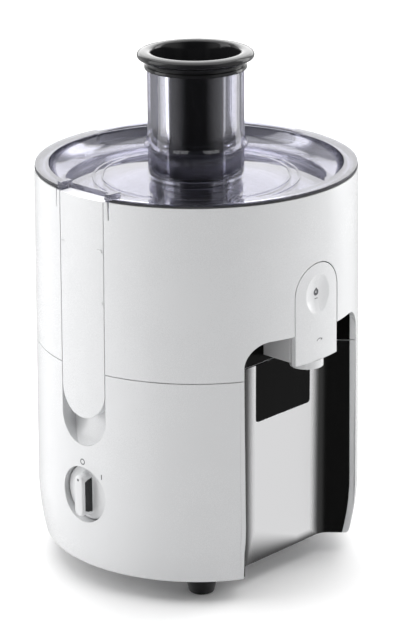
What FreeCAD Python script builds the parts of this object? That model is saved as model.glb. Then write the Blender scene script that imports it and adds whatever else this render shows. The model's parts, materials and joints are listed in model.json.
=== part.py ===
"""Centrifugal juicer with an under-spout glass bay, modelled piece by piece.

Frame: millimetres, +Z up, origin on the bowl axis at table height.
The spout faces -Y, the locking arm and the rotary knob face -X, the cord inlet faces +Y.
"""
import FreeCAD, Part
import math
import os

V = FreeCAD.Vector
X, Y, Z = V(1, 0, 0), V(0, 1, 0), V(0, 0, 1)

# ---- outer body -------------------------------------------------------------
body_r = 110.0            # outer radius at the parting seam
body_draft = 0.012        # growth of the radius per mm downwards
seam_z = 157.0            # parting seam between base and drum
rim_z = 274.2             # top edge of the drum wall
shell_z = 15.5            # bottom edge of the base shell
toe_z = 57.0              # the wall starts to curve inwards below this height
toe_r = 169.0             # radius of that inward curve
edge_r = 2.7              # rounding of the bottom edge
wall = 2.6                # wall of the moulded shells
seam_gap = 0.5            # shadow gap at the seam
part_gap = 0.35           # clearance between pieces that lift apart

# ---- glass bay --------------------------------------------------------------
bay_back_y = -78.0
bay_half = 55.5
bay_flare_y = -95.0       # where the flared side walls meet the body's surface
bay_flare_deg = 48.0
bay_fillet = 12.0
bay_top_z = 182.0
bay_corner = 17.0
liner_t = 1.0
liner_setback = 4.0       # the liner starts this far behind the body's surface
window_half = 27.0
window_z = 116.3
window_t = 0.8
window_corner = 2.5

# ---- locking arm and its channel --------------------------------------------
arm_half = 19.75
arm_low_z = 123.3
arm_t = 8.0
channel_gap = 0.55
channel_x = -97.0         # floor plane of the channel
scoop_r = 22.0            # radius of the finger scoop's floor
scoop_z = 124.0
channel_top_z = 262.4     # the channel's side walls stop under the lid's dish
hinge_x, hinge_z = -101.0, 271.0
hinge_pin_r = 1.5
notch_x = -95.6           # inner wall of the notch in the lid
ear_t = 3.6
ear_gap = 7.0             # room around the ears in the drum's wall
catch_z = 146.0           # underside of the catch plate's lip
catch_reach = 2.6
catch_t = 0.8
arm_tip_x = channel_x - catch_reach - 0.4   # nothing on the arm reaches past this plane
push_post_r = 4.0

# ---- safety switch ----------------------------------------------------------
plunger_z = 130.0
plunger_r = 3.5
plunger_x = arm_tip_x + 0.3
plunger_collar_t = 1.6
plunger_travel = 2.5
plunger_tail_r = 1.5
safety_switch_x = channel_x + 19.0
guide_t = 2.8

# ---- knob -------------------------------------------------------------------
knob_r = 19.0
knob_z = 68.5
knob_gap = 0.5
knob_floor_x = -101.4
knob_face_x = -106.2
knob_disc_t = 4.2
blade_x = -115.3
blade_half_l = 15.0
blade_half_w = 4.6
stem_r = 6.0
switch_shaft_r = 3.0
inlet_z = 34.0

# ---- deck, boss and drum floor ----------------------------------------------
deck_z = 150.0
boss_r = 30.0
boss_z = 163.0
column_gap = 2.2
column_top_z = 185.7
floor_t = 2.4

# ---- collector and spout ----------------------------------------------------
bowl_r = 62.4             # outside of the collector wall
bowl_top_z = 251.5
bowl_t = 2.4
sleeve_r = 20.0           # bore of the collector's centre tube
sleeve_top_z = 203.0
duct_half = 19.6
duct_back_y = -79.0
duct_front_y = -103.2
duct_low_z = 162.6
duct_roof_z = 206.0
nozzle_y, nozzle_r = -99.4, 11.2
nozzle_low_z = 155.8
nozzle_t = 2.0
slide_y, slide_r = -92.4, 8.0   # inner tube of the nozzle, which slides in the duct's floor
slide_h = 14.0
flap_half = 20.4
flap_top_z = 227.7
flap_low_z = 161.2
flap_back_y = -104.3
flap_gap = 0.7
flap_travel = 10.0
dimple_r = 14.0
dimple_depth = 2.4
dimple_z = 207.0

# ---- filter basket ----------------------------------------------------------
disc_r = 33.0
disc_z = 209.0
disc_t = 1.6
mesh_low_r, mesh_top_r = 34.2, 57.2
mesh_t = 1.2
rim_ring_z, rim_ring_h = 252.6, 4.9
rim_ring_r = 67.0
hub_r = 17.0
hub_low_z = 170.0

# ---- lid and feed tube ------------------------------------------------------
lid_t = 2.2
lid_r = 107.9
seal_z, seal_t = 274.55, 0.8
flange_in_r = 101.0
flange_t = 1.5
dish_low_r, dish_low_z = 86.0, 263.5
dish_in_z = 271.6
rib_out_r, rib_in_r = 69.0, 63.0
crest_z = 269.5           # height of the sloping rim's plane on the axis
crest_slope = 0.104
crest_dir = 40.0          # direction in which the sloping rim rises, degrees from +X
tube_bore_r = 30.2
tube_r = 32.3
tube_top_z = 339.6
tube_low_z = 222.0
bead_z, bead_r = 288.2, 34.8

# ---- pusher -----------------------------------------------------------------
pusher_gap = 0.5
pusher_low_z = 268.4
pusher_top_z = 352.0
pusher_lip_r = 39.2
pusher_cup_r = 27.4
pusher_mouth_r = 29.3
collar_r, collar_h = 34.2, 2.6

# ---- feet, base plate, screws ----------------------------------------------
foot_pitch_r = 84.0
foot_top_r, foot_low_r = 11.5, 8.5
foot_stem_r = 4.2
foot_places = (("foot_front_left", 225), ("foot_right", 345), ("foot_rear", 105))
plate_t = 2.6
post_pitch_r = 96.0
post_r = 5.0
post_angles = (35.0, 145.0, 215.0, 325.0)
screw_r = 1.5

# ---- motor ------------------------------------------------------------------
shaft_r = 4.0
run_gap = 0.05
stator_r, stator_flat, stator_bore = 40.0, 34.0, 22.5
core_low_z, core_top_z = 68.0, 108.0
air_gap = 0.7
coil_h = 8.0
bracket_t = 3.2
lower_bracket_z = 34.0
upper_bracket_z = 128.6
bearing_r = 11.0
bearing_h = 7.0
comm_r = 12.0
comm_low_z, comm_top_z = 44.0, 58.0
fan_r, fan_low_z, fan_h = 31.5, 118.6, 7.2
fan_blades = 9
tie_y, tie_r = 36.5, 1.8
mount_pitch_r = 44.0
corners = (45, 135, 225, 315)
mount_h = 6.2
coupling_r, lobe_r, lobes = 11.0, 2.6, 6
coupling_low_z, coupling_top_z = 165.5, 192.0
coupling_gap = 0.35
eps = 0.01

parts = {}


# ---- small builders ---------------------------------------------------------
def cyl(r, z0, z1, x=0.0, y=0.0):
    return Part.makeCylinder(r, z1 - z0, V(x, y, z0), Z)


def rod(r, start, direction, length):
    return Part.makeCylinder(r, length, start, direction)


def ring(r_out, r_in, z0, z1, x=0.0, y=0.0):
    return cyl(r_out, z0, z1, x, y).cut(cyl(r_in, z0 - 1, z1 + 1, x, y))


def box(x0, x1, y0, y1, z0, z1):
    return Part.makeBox(x1 - x0, y1 - y0, z1 - z0, V(x0, y0, z0))


def fuse(shapes):
    shapes = list(shapes)
    whole = shapes[0].multiFuse(shapes[1:]) if len(shapes) > 1 else shapes[0]
    return whole.removeSplitter()


def outline(points, place):
    """Closed wire from (a, b) points; an item ('arc', mid, end) is a round stretch."""
    edges = []
    last = points[0]
    for item in list(points[1:]) + [points[0]]:
        if item[0] == "arc":
            mid, end = item[1], item[2]
            edges.append(Part.Arc(place(last), place(mid), place(end)).toShape())
            last = end
        elif math.dist(last, item) > 1e-6:
            edges.append(Part.LineSegment(place(last), place(item)).toShape())
            last = item
    return Part.Wire(edges)


def revolve(points):
    """Solid of revolution about Z from a closed (radius, z) outline."""
    face = Part.Face(outline(points, lambda p: V(p[0], 0, p[1])))
    return face.revolve(V(0, 0, 0), Z, 360)


def plan_prism(points, z0, z1):
    face = Part.Face(outline(points, lambda p: V(p[0], p[1], z0)))
    return face.extrude(V(0, 0, z1 - z0))


def front_prism(points, y0, y1):
    """Extrude an (x, z) outline along Y."""
    face = Part.Face(outline(points, lambda p: V(p[0], y0, p[1])))
    return face.extrude(V(0, y1 - y0, 0))


def side_prism(points, x0, x1):
    """Extrude a (y, z) outline along X."""
    face = Part.Face(outline(points, lambda p: V(x0, p[0], p[1])))
    return face.extrude(V(x1 - x0, 0, 0))


def around(shape, count, start=0.0):
    copies = []
    for i in range(count):
        c = shape.copy()
        c.rotate(V(0, 0, 0), Z, start + i * 360.0 / count)
        copies.append(c)
    return copies


def polar(r, deg):
    return r * math.cos(math.radians(deg)), r * math.sin(math.radians(deg))


def arc_mid(centre, r, deg):
    return centre[0] + r * math.cos(math.radians(deg)), centre[1] + r * math.sin(math.radians(deg))


# ---- shapes shared by several pieces ----------------------------------------
def body_radius(z):
    """Outer radius of the body at a height."""
    straight = body_r + body_draft * (seam_z - z)
    return straight if z >= toe_z else straight - (toe_z - z) ** 2 / (2 * toe_r)


def body_solid(inset, z0, z1, rounded=0.0):
    """The body's outer form, moved inwards by inset, between two heights."""
    low = z0 + rounded
    pts = [(0, z0), (body_radius(low) - inset - rounded, z0)]
    if rounded:
        c = (body_radius(low) - inset - rounded, low)
        pts.append(("arc", arc_mid(c, rounded, -45), (body_radius(low) - inset, low)))
    if low < toe_z:
        mid = (low + toe_z) / 2
        pts.append(("arc", (body_radius(mid) - inset, mid), (body_radius(toe_z) - inset, toe_z)))
    pts += [(body_radius(z1) - inset, z1), (0, z1)]
    return revolve(pts)


def bay_solid(grow):
    """Room cut for the juice glass; grow thickens it to the back of its walls."""
    a = math.radians(bay_flare_deg)
    back, half = bay_back_y + grow, bay_half + grow
    px, py = bay_half + grow * math.sin(a), bay_flare_y + grow * math.cos(a)
    corner = px - (back - py) / math.tan(a)
    knee = py - (half - px) * math.tan(a)
    r = bay_fillet + grow
    t = r * math.tan(a / 2)
    c = (corner - t, back - r)
    flat, turn = (corner - t, back), (c[0] + r * math.sin(a), c[1] + r * math.cos(a))
    mid = (c[0] + r * math.sin(a / 2), c[1] + r * math.cos(a / 2))
    front = -body_r - 20

    def left(p):
        return (-p[0], p[1])

    plan = [left(flat), flat, ("arc", mid, turn), (half, knee), (half, front), (-half, front),
            (-half, knee), left(turn), ("arc", left(mid), left(flat))]
    room = plan_prism(plan, -5, bay_top_z + grow + 5)
    top, rc = bay_top_z + grow, bay_corner + grow
    cx, cz = half - rc, top - rc
    face = [(-half, -10), (-half, cz), ("arc", arc_mid((-cx, cz), rc, 135), (-cx, top)), (cx, top),
            ("arc", arc_mid((cx, cz), rc, 45), (half, cz)), (half, -10)]
    return room.common(front_prism(face, front - 5, bay_back_y + 20))


def stadium(half, low, high, x0, x1):
    """Straight-sided slab with a round lower end, seen along X."""
    pts = [(-half, high), (-half, low + half), ("arc", (0, low), (half, low + half)), (half, high)]
    return side_prism(pts, x0, x1)


def channel_solid(grow):
    """Channel of the locking arm, ending in the finger scoop."""
    half = arm_half + channel_gap + grow
    low = scoop_z - arm_half - channel_gap - grow
    slab = stadium(half, low, rim_z + 20, -body_r - 20, -80)
    c, r = (channel_x - scoop_r, scoop_z), scoop_r + grow
    side = [(channel_x + grow, rim_z + 30), (channel_x + grow, scoop_z),
            ("arc", arc_mid(c, r, -45), (c[0], c[1] - r)), (-body_r - 30, c[1] - r),
            (-body_r - 30, rim_z + 30)]
    return slab.common(front_prism(side, -60, 60))


def knob_pocket(grow):
    return rod(knob_r + knob_gap + grow, V(-body_r - 20, 0, knob_z), X,
               knob_floor_x + grow + body_r + 20)


def flap_solid(grow, y0, y1, low, high_add=0.0):
    """Arch-topped slab of the drip-stop flap."""
    half = flap_half + grow
    top = flap_top_z + grow + high_add
    pts = [(-half, low), (-half, top - half), ("arc", (0, top), (half, top - half)), (half, low)]
    return front_prism(pts, y0, y1)


def coupling_solid(grow, z0, z1):
    star = [cyl(coupling_r + grow, z0, z1)]
    star += around(cyl(lobe_r + grow, z0, z1, coupling_r, 0), lobes)
    return fuse(star)


# ---- motor base -------------------------------------------------------------
deck_low_z = deck_z - wall
plate_z = shell_z + 0.8
plate_top_z = plate_z + plate_t
plate_r = body_radius(shell_z + edge_r) - wall - 1.6
plunger_hole_r = plunger_r + 0.15


def make_housing():
    """Motor base shell and the moulded insert that walls its glass bay."""
    grown = [bay_solid(wall), channel_solid(wall), knob_pocket(wall)]
    outer = body_solid(0, shell_z, seam_z, edge_r)
    cavity = body_solid(wall, shell_z - 1, deck_low_z)
    recess = body_solid(wall, deck_z, seam_z + 5).cut(cyl(boss_r, deck_z - 1, boss_z))
    posts = []
    for deg in post_angles:
        x, y = polar(post_pitch_r, deg)
        web = box(-1.2, 1.2, 0, body_r + 5 - post_pitch_r, plate_top_z, deck_z)
        web.rotate(V(0, 0, 0), Z, deg - 90)
        web.translate(V(x, y, 0))
        posts += [cyl(post_r, plate_top_z, deck_z, x, y), web]
    for deg in corners:
        x, y = polar(mount_pitch_r, deg)
        posts.append(cyl(6.5, upper_bracket_z + bracket_t + mount_h, deck_z, x, y))
    cavity = cavity.cut(fuse(grown + posts))
    recess = recess.cut(fuse(grown))
    shell = outer.fuse(cyl(boss_r, deck_z - 1, boss_z)).cut(cavity).cut(recess)
    shell = shell.cut(cyl(boss_r - wall, deck_low_z - 1, boss_z - wall))
    shell = shell.cut(cyl(9.2, boss_z - wall - 1, boss_z + 1))
    shell = shell.cut(bay_solid(0)).cut(channel_solid(0)).cut(knob_pocket(0))
    shell = shell.cut(rod(stem_r + 0.3, V(knob_floor_x - 5, 0, knob_z), X, 12))
    shell = shell.cut(rod(plunger_hole_r, V(channel_x - 5, 0, plunger_z), X, 12))
    shell = shell.cut(rod(7.3, V(0, body_r - 12, inlet_z), Y, 20))
    for deg in post_angles:
        x, y = polar(post_pitch_r, deg)
        shell = shell.cut(cyl(screw_r + 0.1, plate_top_z - 1, plate_top_z + 16, x, y))
    for deg in corners:
        x, y = polar(mount_pitch_r, deg)
        shell = shell.cut(cyl(screw_r + 0.1, 130, 150 - wall, x, y))
    insert = bay_solid(wall)
    return shell.cut(insert), shell.common(insert)


def make_liner():
    """Polished sheet liner of the bay in the base."""
    room = bay_solid(0).cut(bay_solid(-liner_t))
    room = room.common(body_solid(liner_setback, shell_z + 0.5, seam_z - 0.3))
    hole = rounded_window(window_half, window_z, seam_z + 5, 0)
    return room.cut(hole)


def rounded_window(half, low, high, grow):
    rc = window_corner
    half, low = half + grow, low - grow
    pts = [(-half, high), (-half, low + rc),
           ("arc", arc_mid((-half + rc, low + rc), rc, 225), (-half + rc, low)), (half - rc, low),
           ("arc", arc_mid((half - rc, low + rc), rc, -45), (half, low + rc)), (half, high)]
    return front_prism(pts, bay_back_y - 8, bay_back_y + 8)


def make_window():
    plate = box(-60, 60, bay_back_y - window_t, bay_back_y, window_z - 1, seam_z - 0.3)
    return plate.common(rounded_window(window_half - 0.15, window_z + 0.15, seam_z + 5, 0))


def make_base_plate():
    plate = cyl(plate_r, plate_z, plate_top_z).cut(bay_solid(wall + 0.3))
    for deg in post_angles:
        x, y = polar(post_pitch_r, deg)
        plate = plate.cut(cyl(screw_r + 0.2, plate_z - 1, plate_top_z + 1, x, y))
    for name, deg in foot_places:
        x, y = polar(foot_pitch_r, deg)
        plate = plate.cut(cyl(foot_stem_r + 0.05, plate_z - 1, plate_top_z + 1, x, y))
    for i in range(-4, 5):
        half = math.sqrt(38.0 ** 2 - (i * 7.0) ** 2)
        plate = plate.cut(box(i * 7.0 - 1.6, i * 7.0 + 1.6, -half, half, plate_z - 1, plate_top_z + 1))
    cup = ring(46, 43.6, plate_top_z - eps, plate_top_z + 6)
    return fuse([plate, cup])


def make_foot():
    pts = [(0, 0), (foot_low_r - 2, 0), ("arc", arc_mid((foot_low_r - 2, 2), 2, -45), (foot_low_r, 2)),
           (foot_top_r, plate_z - 3.5), (foot_top_r, plate_z), (foot_stem_r, plate_z),
           (foot_stem_r, plate_top_z), (foot_stem_r + 1.6, plate_top_z), (foot_stem_r - 1, plate_top_z + 4),
           (0, plate_top_z + 4)]
    return revolve(pts)


def screw(x, y, head_z, length, r=screw_r, head_r=3.2, head_h=2.0, up=True):
    s = 1 if up else -1
    head = rod(head_r, V(x, y, head_z), Z * s, head_h)
    cross = box(x - 2, x + 2, y - 0.4, y + 0.4, -1, 1).fuse(box(x - 0.4, x + 0.4, y - 2, y + 2, -1, 1))
    cross.translate(V(0, 0, head_z))
    return head.cut(cross).fuse(rod(r, V(x, y, head_z + s * head_h), Z * s, length)).removeSplitter()


# ---- motor ------------------------------------------------------------------
def make_stator():
    core = cyl(stator_r, core_low_z, core_top_z)
    core = core.common(box(-stator_flat, stator_flat, -60, 60, core_low_z, core_top_z))
    core = core.cut(cyl(stator_bore, core_low_z - 1, core_top_z + 1))
    for s in (1, -1):
        slot = box(min(13.5 * s, 28 * s), max(13.5 * s, 28 * s), -17, 17, core_low_z - 1, core_top_z + 1)
        core = core.cut(slot)
        core = core.cut(cyl(tie_r + 0.2, core_low_z - 1, core_top_z + 1, 0, s * tie_y))
    return core


def make_field_windings():
    """Two field coils that loop round the stator's pole horns."""
    low, high = core_low_z - coil_h, core_top_z + coil_h
    out_x, in_x = 27.4, 23.2
    clear = cyl(stator_bore + 0.4, low - 1, high + 1)
    coils = []
    for turn in (0, 180):
        legs = [box(x0, x0 + out_x - in_x, 1.0, 16.6, low, high) for x0 in (-out_x, in_x)]
        ends = [box(-out_x, out_x, 1.0, 32.0, z0, z0 + coil_h - 0.2).cut(clear)
                for z0 in (low, core_top_z + 0.2)]
        coil = fuse(legs + ends)
        coil.rotate(V(0, 0, 0), Z, turn)
        coils.append(coil)
    return Part.makeCompound(coils)


def make_upper_bracket():
    z0 = upper_bracket_z
    plate = cyl(41, z0, z0 + bracket_t)
    lobes_ = [cyl(8.5, z0, z0 + bracket_t, *polar(mount_pitch_r, d)) for d in corners]
    cup = cyl(bearing_r + 2.4, z0 - 1.6, z0 + bracket_t + 2.6)
    body = fuse([plate, cup] + lobes_)
    body = body.cut(cyl(bearing_r, z0 - 0.6, z0 + bracket_t + 3)).cut(cyl(6.5, z0 - 5, z0 + 10))
    for d in corners:
        body = body.cut(cyl(3.2, z0 - 1, z0 + 5, *polar(mount_pitch_r, d)))
    for s in (1, -1):
        body = body.cut(cyl(tie_r + 0.1, z0 - 1, z0 + 5, 0, s * tie_y))
    for d in (0, 60, 120, 180, 240, 300):
        body = body.cut(cyl(5.5, z0 - 1, z0 + 5, *polar(25.0, d)))
    return body


def make_lower_bracket():
    z0 = lower_bracket_z
    bar = box(-11, 11, -42, 42, z0, z0 + bracket_t)
    cup = cyl(bearing_r + 2.4, z0 - bearing_h + bracket_t - 1.2, z0 + bracket_t)
    body = fuse([bar, cup])
    body = body.cut(cyl(bearing_r, z0 - bearing_h + bracket_t, z0 + bracket_t + 1))
    body = body.cut(cyl(6.5, z0 - 10, z0 + 5))
    for s in (1, -1):
        body = body.cut(cyl(tie_r + 0.1, z0 - 1, z0 + 5, 0, s * tie_y))
    return body


def make_tie_screws():
    return Part.makeCompound([screw(0, s * tie_y, lower_bracket_z - 2.5,
                                    upper_bracket_z + bracket_t + 1.5 - lower_bracket_z, tie_r, 3.4, 2.5)
                              for s in (1, -1)])


def make_bearing(z0):
    body = ring(bearing_r, shaft_r + run_gap, z0, z0 + bearing_h)
    groove = ring(9.0, 6.0, -1, 0.6)
    low, high = groove.copy(), groove.copy()
    low.translate(V(0, 0, z0))
    high.translate(V(0, 0, z0 + bearing_h + 0.4))
    return body.cut(low).cut(high)


def brush_pieces():
    holders, brushes = [], []
    zc = (comm_low_z + comm_top_z) / 2
    seat = lower_bracket_z + bracket_t
    for s in (1, -1):
        brush = box(comm_r + 0.25, comm_r + 14, -3, 3, zc - 4, zc + 4).cut(cyl(comm_r + 0.25, 0, 100))
        tube = box(comm_r + 3, comm_r + 22, -4.3, 4.3, zc - 5.3, zc + 5.3)
        tube = tube.cut(box(comm_r, comm_r + 20.6, -3.1, 3.1, zc - 4.1, zc + 4.1))
        leg = box(comm_r + 10, comm_r + 14, -4.3, 4.3, seat, zc - 5.3 + eps)
        reach = box(8, comm_r + 22, -10.5, 10.5, seat, seat + 2).cut(cyl(comm_r + 2, 0, 100))
        holder = fuse([tube, leg, reach])
        if s < 0:
            holder.rotate(V(0, 0, 0), Z, 180)
            brush.rotate(V(0, 0, 0), Z, 180)
        holders.append(holder)
        brushes.append(brush)
    return Part.makeCompound(holders), Part.makeCompound(brushes)


def make_mounts():
    z0 = upper_bracket_z + bracket_t
    lot = []
    for d in corners:
        x, y = polar(mount_pitch_r, d)
        m = revolve([(screw_r + 0.1, z0), (7.5, z0), (6.0, z0 + mount_h / 2), (7.5, z0 + mount_h),
                     (screw_r + 0.1, z0 + mount_h)])
        m.translate(V(x, y, 0))
        lot.append(m)
    return Part.makeCompound(lot)


def make_armature():
    r = stator_bore - air_gap
    core = ring(r, shaft_r, core_low_z, core_top_z)
    slot = box(r - 6, r + 1, -0.9, 0.9, core_low_z - 1, core_top_z + 1)
    slot = slot.fuse(cyl(2.2, core_low_z - 1, core_top_z + 1, r - 6, 0))
    return core.cut(fuse(around(slot, 12, 15)))


def make_armature_winding():
    r = stator_bore - air_gap - 2.5
    ends = []
    for z0, z1 in ((comm_top_z + 1.0, core_low_z), (core_top_z, core_top_z + coil_h)):
        pts = [(shaft_r, z0), (r - 3, z0), ("arc", (r - 0.5, (z0 + z1) / 2), (r - 3, z1)), (shaft_r, z1)]
        ends.append(revolve(pts))
    return Part.makeCompound(ends)


def make_commutator():
    body = ring(comm_r, shaft_r, comm_low_z, comm_top_z)
    riser = ring(comm_r + 2.0, shaft_r, comm_top_z - 2.0, comm_top_z)
    body = fuse([body, riser])
    cut = box(comm_r - 1.2, comm_r + 4, -0.25, 0.25, comm_low_z - 1, comm_top_z + 1)
    return body.cut(fuse(around(cut, 12)))


def make_fan():
    z0 = fan_low_z
    hub = ring(8.0, shaft_r, z0, z0 + fan_h)
    disc = ring(fan_r, shaft_r, z0, z0 + 1.4)
    blade = box(7.0, fan_r - 0.6, -0.7, 0.7, z0 + 1.0, z0 + fan_h)
    return fuse([hub, disc] + around(blade, fan_blades))


# ---- drum -------------------------------------------------------------------
def make_drum():
    """Outer drum that catches the pulp; it stands on the deck of the base."""
    outer = body_solid(0, seam_z + seam_gap, rim_z)
    inset = wall + part_gap
    spigot = body_solid(inset, deck_z + part_gap, seam_z + seam_gap)
    spigot = spigot.cut(bay_solid(inset)).cut(channel_solid(inset))
    low = deck_z + part_gap + floor_t
    thick = inset + wall
    step_z = seam_z + 6
    inner_low = body_solid(thick, low, step_z).cut(bay_solid(thick)).cut(channel_solid(thick))
    inner = body_solid(wall, step_z, rim_z + 1)
    bore = boss_r + column_gap
    column = cyl(bore + floor_t, low - 1, column_top_z)
    pocket = flap_solid(flap_gap + wall, -body_r - 5, flap_back_y + part_gap + wall, bay_top_z - 5)
    pocket_in = flap_solid(flap_gap, -body_r - 5, flap_back_y + part_gap, bay_top_z - 8)
    hatch = box(-duct_half - 0.4, duct_half + 0.4, duct_front_y - 4, duct_back_y + 0.6,
                bay_top_z - 8, duct_roof_z + 0.4)
    channel_wall = channel_solid(wall).cut(box(-body_r - 5, -80, -60, 60, channel_top_z, rim_z + 40))
    cavity = inner.cut(fuse([bay_solid(wall), channel_wall, pocket])).fuse(inner_low).cut(column)
    solid = outer.fuse(spigot).cut(cavity)
    solid = solid.cut(cyl(bore, deck_z - 5, column_top_z - floor_t))
    solid = solid.cut(cyl(hub_r + 2.0, deck_z, column_top_z + 5))
    solid = solid.cut(bay_solid(0)).cut(channel_solid(0)).cut(pocket_in).cut(hatch)
    w = arm_half + channel_gap + ear_t + 0.4
    ear_room = box(-body_r + wall + 1.4, notch_x + 1, -w, w, channel_top_z, rim_z + 5)
    return solid.cut(ear_room).removeSplitter()


def make_bay_roof():
    """Dark lining of the notch that the drum leaves above the bay."""
    room = bay_solid(0).cut(bay_solid(-liner_t))
    room = room.common(body_solid(liner_setback, seam_z + seam_gap + 0.3, bay_top_z + 5))
    half = duct_half + 0.5
    hatch = box(-half, half, -body_r - 5, duct_back_y + 0.5, duct_low_z - 20, bay_top_z + 5)
    slot = flap_solid(flap_gap, -body_r - 5, flap_back_y + part_gap, 100)
    return room.cut(hatch).cut(slot)


def make_collector():
    """Juice bowl around the basket with the spout duct that reaches the front."""
    z0 = column_top_z
    bowl = cyl(bowl_r, z0, bowl_top_z).cut(cyl(bowl_r - bowl_t, z0 + bowl_t, bowl_top_z + 1))
    centre = cyl(sleeve_r + bowl_t, z0, sleeve_top_z)
    duct = box(-duct_half, duct_half, duct_front_y, -bowl_r + 8, bay_top_z + wall + 0.4, duct_roof_z)
    chute = box(-duct_half, duct_half, duct_front_y, duct_back_y, duct_low_z, duct_roof_z)
    chute = chute.makeFillet(2.0, [e for e in chute.Edges if vertical_at(e, duct_front_y)])
    keep = cyl(bowl_r - bowl_t, z0 + bowl_t, bowl_top_z + 1)
    solid = fuse([bowl, centre, duct.cut(keep), chute])
    passage = box(-duct_half + 2.2, duct_half - 2.2, duct_front_y + 2.2, -bowl_r + 12,
                  bay_top_z + wall + 0.4 + 2.2, duct_roof_z - 2.2)
    passage = passage.fuse(box(-duct_half + 2.2, duct_half - 2.2, duct_front_y + 2.2, duct_back_y - 2.2,
                               duct_low_z + 2.2, duct_roof_z - 2.2))
    mouth = passage.cut(cyl(sleeve_r + bowl_t + 2, 0, 400))
    solid = solid.cut(mouth).cut(cyl(sleeve_r, z0 - 5, sleeve_top_z + 5))
    solid = solid.cut(cyl(slide_r + 0.1, duct_low_z - 1, duct_low_z + 3, 0, slide_y))
    return solid.removeSplitter()


def vertical_at(edge, y):
    c = edge.CenterOfMass
    along = edge.BoundBox
    return abs(c.y - y) < 0.01 and along.ZLength > 5 and along.XLength < 0.01


def make_flap():
    slab = flap_solid(0, -body_r - 5, flap_back_y, flap_low_z)
    slab = slab.common(body_solid(0.15, flap_low_z - 5, flap_top_z + 5))
    depth = dimple_depth
    ball = (dimple_r ** 2 + depth ** 2) / (2 * depth)
    slab = slab.cut(Part.makeSphere(ball, V(0, -body_radius(dimple_z) + depth - ball, dimple_z)))
    return slab


def make_nozzle():
    """Round outlet under the flap; its inner tube opens a port as it slides down."""
    top = duct_low_z + slide_h
    shelf = duct_low_z - part_gap
    cup = cyl(nozzle_r, nozzle_low_z, shelf, 0, nozzle_y)
    cup = cup.cut(box(-20, 20, -body_r - 10, flap_back_y, flap_low_z, shelf + 1))
    tube = cyl(slide_r, shelf - 1, top, 0, slide_y)
    solid = cup.fuse(tube).cut(cyl(nozzle_r - nozzle_t, nozzle_low_z - 1, shelf - nozzle_t, 0, nozzle_y))
    solid = solid.cut(cyl(slide_r - nozzle_t, shelf - nozzle_t - 1, top - nozzle_t, 0, slide_y))
    port = box(-5, 5, slide_y, slide_y + slide_r + 2, top - 9, top - 3)
    return solid.cut(port).removeSplitter()


# ---- basket -----------------------------------------------------------------
def make_hub():
    body = cyl(hub_r, hub_low_z, disc_z)
    body = body.cut(coupling_solid(coupling_gap, hub_low_z - 1, coupling_top_z + 2))
    plate = cyl(mesh_low_r, disc_z - 3, disc_z)
    skirt = ring(sleeve_r + bowl_t + 4.6, sleeve_r + bowl_t + 2.2, disc_z - 12, disc_z - 1)
    return fuse([body, plate, skirt])


def make_grater():
    disc = cyl(disc_r, disc_z, disc_z + disc_t)
    teeth = []
    for r, n, shift in ((12, 12, 0), (17, 16, 8), (22, 20, 4), (27, 26, 0), (31, 30, 5)):
        tooth = Part.makeBox(0.7, 2.2, 1.5, V(r - 0.35, -1.1, disc_z + disc_t - 0.1))
        teeth += around(tooth, n, shift)
    return fuse([disc] + teeth)


def make_mesh_wall():
    z1 = rim_ring_z + 1.0
    pts = [(mesh_low_r - mesh_t, disc_z), (mesh_low_r, disc_z), (mesh_top_r, z1), (mesh_top_r - mesh_t, z1)]
    return revolve(pts)


def make_rim_ring():
    z0, z1 = rim_ring_z, rim_ring_z + rim_ring_h
    pts = [(mesh_top_r, z0), (rim_ring_r - 1, z0 + 0.8), (rim_ring_r, z0 + 2.2), (rim_ring_r - 0.6, z0 + 3.2),
           (mesh_top_r + 2.4, z1), (mesh_top_r - mesh_t - 0.8, z1), (mesh_top_r - mesh_t - 0.8, z0 + 1.0),
           (mesh_top_r, z0 + 1.0)]
    return revolve(pts)


# ---- lid --------------------------------------------------------------------
def lid_floor_z(r):
    """Upper surface of the lid's conical floor."""
    return dish_in_z + (dish_low_z - dish_in_z) * (r - tube_r) / (dish_low_r - tube_r)


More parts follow.
